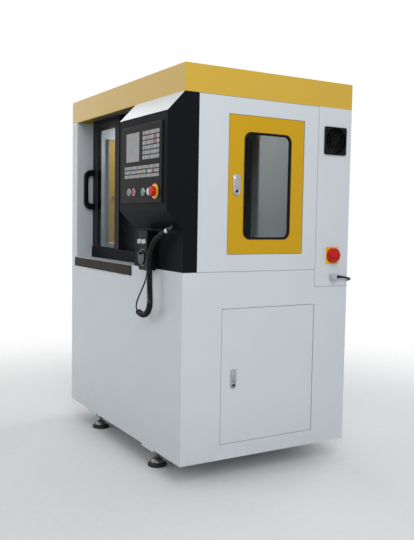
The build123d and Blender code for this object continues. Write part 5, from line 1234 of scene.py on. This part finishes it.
@dataclass
class Cords(Assembly):
    """The power cord with its coil and strain relief, and the curled pendant cable."""

    cord_radius: float = 0.005
    coil_centre: tuple[float, float] = (0.207, 0.5135)
    coil_radius: float = 0.055
    coil_turns: float = 4.25
    coil_rise: float = 0.0105
    points_per_turn: int = 16
    cord_length: float = 2.79
    relief_length: float = 0.026
    relief_radii: tuple[float, float] = (0.0082, 0.0058)
    relief_steps: int = 41
    relief_segments: int = 32
    relief_ribs: int = 6
    ribbed: tuple[float, float] = (0.04, 0.97)
    rib_height: float = 0.00045
    strand_radius: float = 0.0035
    curl_radius: float = 0.0103
    curl_pitch: float = 0.0082
    curl_points: int = 12
    curl_ease: float = 0.016
    plain_ends: float = 0.012
    cable_length: float = 4.01
    route: tuple[Point, ...] = (
        (0.643, 0.346, 0.838), (0.643, 0.383, 0.838), (0.644, 0.4225, 0.830),
        (0.624, 0.4465, 0.824), (0.591, 0.4565, 0.817), (0.545, 0.4585, 0.807),
        (0.495, 0.4595, 0.782), (0.453, 0.4605, 0.738), (0.425, 0.4615, 0.678),
        (0.414, 0.4625, 0.600), (0.411, 0.4635, 0.500), (0.413, 0.4645, 0.390),
        (0.411, 0.4655, 0.280), (0.413, 0.4655, 0.180), (0.410, 0.4645, 0.110),
        (0.399, 0.463, 0.055), (0.369, 0.461, 0.018), (0.325, 0.459, 0.005),
        (0.275, 0.4585, 0.005),
    )
    tail: tuple[Point, ...] = (
        (0.152, 0.5475, 0.0496), (0.152, 0.5795, 0.0336),
        (0.152, 0.6135, 0.013), (0.152, 0.6495, 0.013),
    )
    curl_route: tuple[Point, ...] = (
        (0.55005, -0.45845, 1.03476), (0.51058, -0.45845, 1.02039), (0.464, -0.4645, 0.995),
        (0.434, -0.4685, 0.954), (0.424, -0.4705, 0.900), (0.427, -0.4705, 0.830),
        (0.4315, -0.470, 0.770), (0.432, -0.4695, 0.726), (0.413, -0.469, 0.692),
        (0.375, -0.4685, 0.677), (0.337, -0.4681, 0.678), (0.307, -0.4678, 0.687),
    )
    lead_route: tuple[Point, ...] = (
        (0.2935, -0.4676, 0.694), (0.292, -0.4667, 0.716), (0.305, -0.4645, 0.740),
        (0.326, -0.4605, 0.772), (0.347, -0.4535, 0.812), (0.357, -0.4485, 0.841),
        (0.357, -0.4485, 0.865),
    )

    def build(self) -> None:
        """Makes both cords with what is on them."""
        self.power_cord()
        self.pendant_cable()

    def sheathed(
        self, name: str, points: np.ndarray, radius: float, sides: int, nodes: Sequence[str]
    ) -> bpy.types.Object:
        """Cord in black rubber that stands for frame nodes.

        Args:
            name: the piece's name.
            points: control points of its line.
            radius: half its thickness.
            sides: roundness of its section.
            nodes: frame nodes that it stands for.

        Returns:
            The cord.
        """
        cord = nurbs(name, points, radius, sides)
        cord.data.materials.append(self.wardrobe.of("cord_rubber"))
        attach(cord, "cabinet")
        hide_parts(*nodes)
        LOG.info("%s measures %.3f m", name, arc_lengths(line_of(points))[-1])
        return cord

    def coil(self) -> np.ndarray:
        """Turns of the put-away coil: a circle that climbs evenly, clockwise seen from above.

        x = cx + r cos a, y = cy + r sin a, z = cord radius + rise a / one turn.

        Returns:
            Control points of the turns.
        """
        count = int(round(self.coil_turns * self.points_per_turn)) + 1
        turned_by = np.linspace(0.0, TURN * self.coil_turns, count)
        angle = -np.pi / 2 - turned_by
        x = self.coil_centre[0] + self.coil_radius * np.cos(angle)
        y = self.coil_centre[1] + self.coil_radius * np.sin(angle)
        z = self.cord_radius + self.coil_rise * turned_by / TURN
        return np.stack([x, y, z], -1)

    def power_cord(self) -> None:
        """Power cord from the gland round the rear corner, down to its coil and plug."""
        points = np.concatenate([np.array(self.route), self.coil(), np.array(self.tail)])
        nodes = ("power_cord", "power_cord_coil")
        cord = self.sheathed("power_cord_line", points, self.cord_radius, 3, nodes)
        relief = self.strain_relief()

    def strain_relief(self) -> bpy.types.Object:
        """Tapered sleeve with ribs: r = taper + rib height times a wave along the length.

        Returns:
            The sleeve.
        """
        along = np.linspace(0.0, 1.0, self.relief_steps)
        wide, narrow = self.relief_radii
        held = (along > self.ribbed[0]) * (along < self.ribbed[1])
        wave = np.cos(along * TURN * self.relief_ribs) * held
        sleeve = wide + (narrow - wide) * along + self.rib_height * wave
        radius = np.concatenate([sleeve, [self.cord_radius + TOUCH]])
        height = np.concatenate([along, [1.0]]) * self.relief_length
        loops = lathe(list(zip(radius, height)), self.relief_segments)
        loops = np.stack([loops[..., 0], loops[..., 2], -loops[..., 1]], -1)
        shell = loft(loops + np.array(self.route[0]))
        return self.piece("cord_strain_relief", shell, "cabinet", "cord_rubber")

    def curls(self) -> np.ndarray:
        """Helix about the route's own spline: centre + r (cos a * side + sin a * normal).

        The side is the part of +Y that is square to the route, the normal is square to both,
        a grows by one turn for each pitch, and r eases in from nought at both ends.

        Returns:
            Control points of the helix.
        """
        route = line_of(np.array(self.curl_route))
        length = arc_lengths(route)[-1]
        turns = (length - self.plain_ends) / self.curl_pitch
        centre = resample(route, int(turns * self.curl_points))
        tangent = np.gradient(centre, axis=0)
        tangent /= np.linalg.norm(tangent, axis=1)[:, None]
        side = np.array([0.0, 1.0, 0.0]) - tangent * tangent[:, 1:2]
        side /= np.linalg.norm(side, axis=1)[:, None]
        normal = np.cross(tangent, side)
        along = np.linspace(0.0, length, len(centre))
        ease = np.clip(np.minimum(along, length - along) / self.curl_ease, 0.0, 1.0)
        reach = (self.curl_radius * np.sin(ease * np.pi / 2))[:, None]
        angle = (TURN * turns * along / length)[:, None]
        return centre + reach * (np.cos(angle) * side + np.sin(angle) * normal)

    def pendant_cable(self) -> None:
        """Curled cable from its connector down to the lowest bend and plain up to the pendant."""
        points = np.concatenate([self.curls(), np.array(self.lead_route)])
        nodes = ("pendant_cord", "pendant_lead")
        cable = self.sheathed("pendant_cable", points, self.strand_radius, 1, nodes)


@dataclass
class Windows(Assembly):
    """Rubber profiles around the panes of the two window doors.

    The section is a closed ring of shares of the band's width, inwards, and of its height. It has a
    round bead outside and a lower lip inside, where a filler strip sits.
    """

    corner: float = 0.034
    corner_points: int = 12
    band: float = 0.010
    section: Profile = (
        (0.0, 0.0), (0.0, 0.55), (0.06, 0.82), (0.18, 0.97), (0.32, 1.0), (0.44, 0.92),
        (0.52, 0.74), (0.58, 0.86), (0.72, 0.9), (0.88, 0.74), (0.97, 0.5), (1.0, 0.2), (1.0, 0.0),
    )

    def build(self) -> None:
        """Makes the profile of each side."""
        self.profile("right", Facing.RIGHT)
        self.profile("left", Facing.LEFT)

    def profile(self, side: str, facing: Facing) -> None:
        """Carries the section round the window's outline.

        Args:
            side: word in the node and body names.
            facing: the side of the machine that it looks to.
        """
        gasket = f"{side}_gasket"
        low, high = box_of(gasket)
        depth, width, height = high - low

        def drawn_in(share: float) -> np.ndarray:
            """The window's outline, drawn in by a share of the band.

            Args:
                share: share of the band's width.

            Returns:
                The outline.
            """
            inset = share * self.band
            size = (width - 2 * inset, height - 2 * inset)
            return rounded_loop(*size, self.corner - inset, self.corner_points)

        loops = stacked((drawn_in(share), rise * depth) for share, rise in self.section)
        shell = loft(loops, ring=True).stood(foot(gasket, facing), facing)
        name, body = f"{side}_window_profile", f"{side}_door_body"
        self.piece(name, shell, body, "seal_rubber", replaces=[gasket])


@dataclass
class ControlStation(Assembly):
    """Fine parts of the control unit: key caps, collars, the stop button's disc and the groove.

    A key cap's section and the two rings' profiles run from the foot to the top. The cap's is the
    inset and the share of its height, a ring's is the reach past its bore or its outer radius, and
    the height over its rise.
    """

    front: float = -0.5045
    bounds: tuple[float, float, float, float] = (0.210, 0.593, 1.146, 1.466)
    groove_inset: float = 0.018
    unit_paint: Colour = (0.0085, 0.0087, 0.009)
    pad: tuple[float, float, float, float] = (0.419, 0.572, 1.320, 1.438)
    strip: tuple[float, float, float, float] = (0.244, 0.572, 1.248, 1.301)
    pad_keys: tuple[int, int] = (6, 6)
    strip_keys: tuple[int, int] = (16, 3)
    key_front: float = -0.5040
    key_rise: float = 0.0022
    key_gap: float = 0.0036
    key_corner: float = 0.0034
    key_corner_points: int = 4
    key_section: Profile = (
        (0.0, 0.0), (0.0, 0.55), (0.0004, 0.85), (0.0011, 1.0), (0.0030, 0.93)
    )
    wear: tuple[float, float] = (0.86, 0.14)
    wear_wave: tuple[float, float] = (2.4, 5.1)
    button_z: float = 1.192
    buttons: tuple[tuple[str, float, str], ...] = (
        ("start", 0.292, "button_white"),
        ("stop", 0.337, "button_white"),
        ("power_on", 0.429, "zinc_steel"),
        ("power_off", 0.481, "zinc_steel"),
    )
    collar: tuple[float, float, float] = (0.0113, 0.0145, 0.0025)
    collar_rim: Profile = ((0.0004, -0.0006), (-0.0002, 0.0003))
    collar_mouth: Profile = ((0.0009, 0.0004), (0.0, -0.0004))
    collar_points: int = 48
    stop_x: float = 0.537
    disc: tuple[float, float, float] = (0.0103, 0.030, 0.002)
    disc_rim: Profile = ((0.0003, -0.0004), (-0.0006, 0.0003))
    disc_mouth: Profile = ((0.0006, 0.0003), (0.0, -0.0003))
    disc_points: int = 64
    pale: Colour = (0.36, 0.365, 0.37)
    coloured: ClassVar[dict[tuple[str, int, int], Colour]] = {
        ("strip", 8, 1): (0.55, 0.42, 0.05),
        ("strip", 10, 1): (0.05, 0.22, 0.09),
        ("strip", 13, 1): (0.42, 0.03, 0.04),
        ("strip", 11, 1): (0.62, 0.61, 0.58),
        ("pad", 4, 4): (0.34, 0.10, 0.13),
        ("pad", 4, 3): (0.34, 0.10, 0.13),
        ("pad", 0, 5): (0.44, 0.20, 0.08),
    }

    def build(self) -> None:
        """Dresses the unit and makes its fine parts."""
        self.grooved_front()
        self.key_caps()
        rings = (self.collar, self.collar_rim, self.collar_mouth)
        for name, x, slot in self.buttons:
            self.ring(f"{name}_collar", x, slot, self.collar_points, *rings)
        rings = (self.disc, self.disc_rim, self.disc_mouth)
        place, slot = self.stop_x, "switch_yellow"
        self.ring("stop_button_disc", place, slot, self.disc_points, *rings)

    def grooved_front(self) -> None:
        """The unit's own paint has a thin groove a little inside its edge."""
        x0, x1, z0, z1 = self.bounds
        inset = self.groove_inset
        finish = FramedEnamel(
            "control_unit_paint",
            self.unit_paint,
            specular=0.06,
            middle=((x0 + x1) / 2, 0.0, (z0 + z1) / 2),
            half=((x1 - x0) / 2 - inset, 0.0, (z1 - z0) / 2 - inset),
        )
        material = finish.material(self.wardrobe.effects)
        self.wardrobe.dress(bpy.data.objects["control_unit"], material)

    def field_of_keys(
        self, name: str, bounds: tuple[float, float, float, float], columns: int, rows: int
    ) -> tuple[Shell, np.ndarray]:
        """Crowned key caps of one field with a colour for each vertex.

        A cap is a stack of rounded rectangles: the foot, the rounded shoulder and the crown, each
        inset and raised a little more than the one before it.

        Args:
            name: the field's name in the table of coloured keys.
            bounds: low and high x, low and high z.
            columns: caps along x.
            rows: caps along z.

        Returns:
            The caps' skin and their colours.
        """
        low_x, high_x, low_z, high_z = bounds
        pitch_x, pitch_z = (high_x - low_x) / columns, (high_z - low_z) / rows

        def outline(inset: float) -> np.ndarray:
            """Rounded rectangle of a cap, drawn in evenly.

            Args:
                inset: how far it is drawn in.

            Returns:
                The outline.
            """
            width, height = pitch_x - self.key_gap, pitch_z - self.key_gap
            size = (width - 2 * inset, height - 2 * inset)
            return rounded_loop(*size, self.key_corner - inset, self.key_corner_points)

        loops = stacked((outline(inset), rise * self.key_rise) for inset, rise in self.key_section)
        cap = loft(loops)
        shells, tints = [], []
        for column in range(columns):
            for row in range(rows):
                x, z = low_x + (column + 0.5) * pitch_x, low_z + (row + 0.5) * pitch_z
                shells.append(cap.stood((x, self.key_front, z), Facing.FRONT))
                tint = np.array(self.coloured.get((name, column, row), self.pale))
                wave = math.sin(self.wear_wave[0] * column + self.wear_wave[1] * row)
                worn = self.wear[0] + self.wear[1] * wave
                tints.append(np.tile((*(tint * worn), 1.0), (len(cap.points), 1)))
        return join(shells), np.concatenate(tints)

    def key_caps(self) -> None:
        """Caps of the keypad and of the strip under the display, as one piece."""
        pad, pad_tints = self.field_of_keys("pad", self.pad, *self.pad_keys)
        strip, strip_tints = self.field_of_keys("strip", self.strip, *self.strip_keys)
        finish = TintedMoulded("printed_keys", self.pale, 0.42)
        material = finish.material(self.wardrobe.effects)
        caps = self.piece("key_caps", join([pad, strip]), "cabinet", "key_grey", material)
        layer = caps.data.color_attributes.new(TINT, "FLOAT_COLOR", "POINT")
        tints = np.concatenate([pad_tints, strip_tints]).astype(np.float32)
        layer.data.foreach_set("color", tints.ravel())

    def ring(
        self,
        name: str,
        x: float,
        slot: str,
        segments: int,
        sizes: tuple[float, float, float],
        rim: Profile,
        mouth: Profile,
    ) -> None:
        """Turned ring around a button, with a rounded rim.

        Args:
            name: the piece's name.
            x: middle of the button.
            slot: the material slot of its finish.
            segments: points around.
            sizes: radius of the bore, outer radius and rise.
            rim: reach past the outer radius and height over the rise.
            mouth: reach past the bore and height over the rise.
        """
        bore, outer, rise = sizes
        profile = [(bore, TOUCH), (outer + rim[0][0], TOUCH)]
        profile += [(outer + reach, rise + height) for reach, height in rim]
        profile += [(bore + reach, rise + height) for reach, height in mouth]
        shell = loft(lathe(profile, segments), ring=True)
        shell = shell.stood((x, self.front, self.button_z), Facing.FRONT)
        self.piece(name, shell, "cabinet", slot)


@dataclass
class HandPendant(Assembly):
    """Marks around the pendant's dial."""

    centre: tuple[float, float] = (0.357, 0.919)
    inner: float = 0.0325
    long_mark: float = 0.0045
    short_mark: float = 0.0028
    width: float = 0.0005
    marks: int = 100
    long_every: int = 10

    def build(self) -> None:
        """Makes the ring of marks, some of them longer."""
        shells = []
        for number in range(self.marks):
            length = self.long_mark if number % self.long_every == 0 else self.short_mark
            angle = TURN * number / self.marks
            outward = np.array([np.cos(angle), np.sin(angle)])
            across = np.array([-outward[1], outward[0]]) * self.width / 2
            near, far = outward * self.inner, outward * (self.inner + length)
            corners = np.array([near - across, far - across, far + across, near + across])
            shells.append(loft(stacked((corners, rise) for rise in (-TOUCH, TOUCH))))
        place = (self.centre[0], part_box("pendant_body")[0][1], self.centre[1])
        shell = join(shells).stood(place, Facing.FRONT)
        self.piece("pendant_dial_marks", shell, "cabinet", "button_white")


@dataclass
class SideFittings(Assembly):
    """Screws of the ventilator's frame and of the main switch."""

    inset: float = 0.0075
    head_radius: float = 0.0034
    head_rise: float = 0.0014
    head_points: int = 20
    dome_steps: int = 6
    crown: float = 1.05
    recess_radii: tuple[float, float] = (0.35, 0.3)
    recess_rises: tuple[float, float] = (0.2, 0.1)

    def build(self) -> None:
        """Makes both sets of screws."""
        self.screws("fan_frame", "fan_screws", "black_plastic")
        self.screws("main_switch_plate", "switch_plate_screws", "switch_yellow")

    def screws(self, node: str, name: str, slot: str) -> None:
        """Four pan heads with a sunk middle near the corners of a plate on the right wall.

        The head is a dome, h = rise (crown - (r / radius) squared), down to the recess's edge.

        Args:
            node: the frame's node that they sit on.
            name: the piece's name.
            slot: the material slot of their finish.
        """
        low, high = box_of(node)
        radius, rise = self.head_radius, self.head_rise
        dome = [(radius, -TOUCH)]
        edge, bottom = self.recess_radii
        shares = np.linspace(1.0, edge, self.dome_steps)
        dome += [(share * radius, rise * (self.crown - share**2)) for share in shares]
        outer, inner = self.recess_rises
        dome += [(bottom * radius, outer * rise), (TOUCH, inner * rise)]
        head = loft(lathe(dome, self.head_points))
        shells = [
            head.stood((high[0] - TOUCH, y, z), Facing.RIGHT)
            for y in (low[1] + self.inset, high[1] - self.inset)
            for z in (low[2] + self.inset, high[2] - self.inset)
        ]
        self.piece(name, join(shells), "cabinet", slot)


@dataclass(frozen=True)
class Latch:
    """One door latch: its name, its door and how its plate's outline runs."""

    name: str
    door: str
    facing: Facing
    width: float = 0.037
    height: float = 0.088
    round_top: bool = True


@dataclass
class Latches(Assembly):
    """Plated covers and push buttons of the door latches, with the dark key cores in the buttons.

    The cover's edge is the inset from the outline and the height over the cover's top, and its
    mouth is the reach past the bore and the same height. The button's shoulder is the step in from
    its radius, or out from its seat, and the height over its outer end.
    """

    plate_rise: float = 0.003
    button_rise: float = 0.002
    cover: float = 0.0003
    corner_points: int = 14
    low_corner: float = 0.006
    edge: Profile = (
        (-0.0003, -0.0012), (0.0004, -0.0003), (0.0012, 0.0), (0.0032, 0.0),
        (0.0038, -0.00025), (0.0046, -0.00025), (0.0052, 0.0002),
    )
    bore: float = 0.0106
    mouth: Profile = ((0.0008, 0.0002), (0.0, -0.0003))
    shoulder: Profile = ((0.0, -0.0011), (0.0003, -0.0004), (0.0011, 0.0))
    seat_lip: float = 0.0003
    seat_depth: float = 0.0014
    core_radius: float = 0.0062
    core_edge: tuple[float, float] = (0.0004, 0.0003)
    core_sink: float = 0.0002
    key_slot: tuple[float, float, float] = (0.0016, 0.0076, 0.0004)
    slot_depth: float = 0.001
    # Keeps the straight parts of a nearly round outline longer than nought.
    sliver: float = 0.00001
    latches: tuple[Latch, ...] = (
        Latch("right_latch", "right_door", Facing.RIGHT),
        Latch("left_latch", "left_door", Facing.LEFT),
        Latch("lower_latch", "lower_door", Facing.RIGHT, 0.028, 0.080, round_top=False),
        Latch("rear_latch", "rear_door", Facing.REAR),
    )

    def build(self) -> None:
        """Makes the cover, the button and the key core of each latch."""
        for latch in self.latches:
            self.cover_plate(latch)
            self.button(latch)

    def cover_plate(self, latch: Latch) -> None:
        """Cover plate with a bead along its outline and a bore for the button.

        The cover's loops run from the door's face up the outline, over its rounded edge and across
        the top to the bore: a point of the bore lies on the ray from its middle to the outline's
        point.

        Args:
            latch: the latch to dress.
        """
        half = np.array([latch.width, latch.height]) / 2
        centre = np.array([0.0, half[1] - half[0]])
        size = (latch.width, latch.height)
        outline = rounded_loop(*size, half[0] - self.sliver, self.corner_points) + centre
        if not latch.round_top:
            flat = rounded_loop(*size, self.low_corner, self.corner_points) + centre
            outline = np.where(outline[:, 1:] > centre[1], flat, outline)

        def inset(amount: float) -> np.ndarray:
            """The outline drawn in evenly on both axes."""
            return centre + (outline - centre) * (half - amount) / half

        way = outline / np.linalg.norm(outline, axis=1)[:, None]
        top = self.plate_rise + self.cover
        loops = [(inset(self.edge[0][0]), 0.0)]
        loops += [(inset(reach), top + height) for reach, height in self.edge]
        loops += [(way * (self.bore + reach), top + height) for reach, height in self.mouth]
        loops += [(way * self.bore, TOUCH)]
        back = self.plate_rise + self.button_rise
        place = foot(f"{latch.name}_button", latch.facing, back)
        shell = loft(stacked(loops), ring=True).stood(place, latch.facing)
        plated = self.wardrobe.of("latch_plate")
        self.piece(f"{latch.name}_cover", shell, f"{latch.door}_body", "plated", plated)

    def button(self, latch: Latch) -> None:
        """Push button with a sunk seat, and the slotted key core that sits in it.

        Both are stacks of outlines about the button's axis: circles, and for the core's middle the
        long rectangle of its key slot.

        Args:
            latch: the latch to dress.
        """
        node = f"{latch.name}_button"
        low, high = box_of(node)
        depth = abs(float((high - low) @ np.array(latch.facing.value[2])))
        radius = float(high[2] - low[2]) / 2
        seat, core = self.core_radius + self.seat_lip, self.core_radius

        def circle(reach: float) -> np.ndarray:
            """Round outline with as many points as the key slot's."""
            return rounded_loop(2 * reach, 2 * reach, reach - self.sliver)

        body = [(circle(radius), 0.0)]
        body += [(circle(radius - step), depth + height) for step, height in self.shoulder]
        body += [
            (circle(seat + self.seat_lip), depth),
            (circle(seat), depth - self.seat_lip),
            (circle(seat), depth - self.seat_depth),
        ]
        top = depth - self.core_sink
        step, drop = self.core_edge
        slot = rounded_loop(*self.key_slot)
        middle = [
            (circle(core), depth - self.seat_depth - TOUCH / 2),
            (circle(core), top - drop),
            (circle(core - step), top),
            (slot, top),
            (slot, top - self.slot_depth),
        ]
        place = foot(node, latch.facing)
        button, key_core = (
            loft(stacked(loops)).stood(place, latch.facing) for loops in (body, middle)
        )
        plated = self.wardrobe.of("latch_plate")
        self.piece(f"{latch.name}_push_button", button, latch.name, "plated", plated, [node])
        self.piece(f"{latch.name}_key_core", key_core, latch.name, "black_plastic")


@dataclass
class Frame(Assembly):
    """Finishes of the frame's own nodes."""

    record: dict[str, Any]
    nodes: dict[str, bpy.types.Object]
    own_finish: ClassVar[dict[str, str]] = {
        "levelling_feet": "foot",
        "mill_column": "dark_column",
        "right_door": "door_yellow",
        "left_door": "door_yellow",
        "pendant_socket": "connector",
        "electrical_cabinet": "electrical_box",
    }

    def build(self) -> None:
        """Gives each node the finish of its slot, or its own where one slot isn't enough."""
        for part in self.record["subparts"]:
            node, slot = part["node"], part["material_slot"]
            key = self.own_finish.get(node, slot)
            self.wardrobe.dress(self.nodes[node], self.wardrobe.of(key))
            LOG.info("%s wears %s", node, FINISHES[key].name)


def main() -> None:
    """Builds the studio and every sub-assembly."""
    logging.basicConfig(level=logging.INFO, format="%(name)s: %(message)s")
    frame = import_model()
    Studio().build()
    wardrobe = Wardrobe()
    Cords(wardrobe).build()
    Frame(wardrobe, frame["record"], frame["nodes"]).build()
    for assembly in (Windows, ControlStation, HandPendant, SideFittings, Latches):
        assembly(wardrobe).build()
        LOG.info("%s is done", assembly.__name__)


if __name__ == "__main__":
    main()
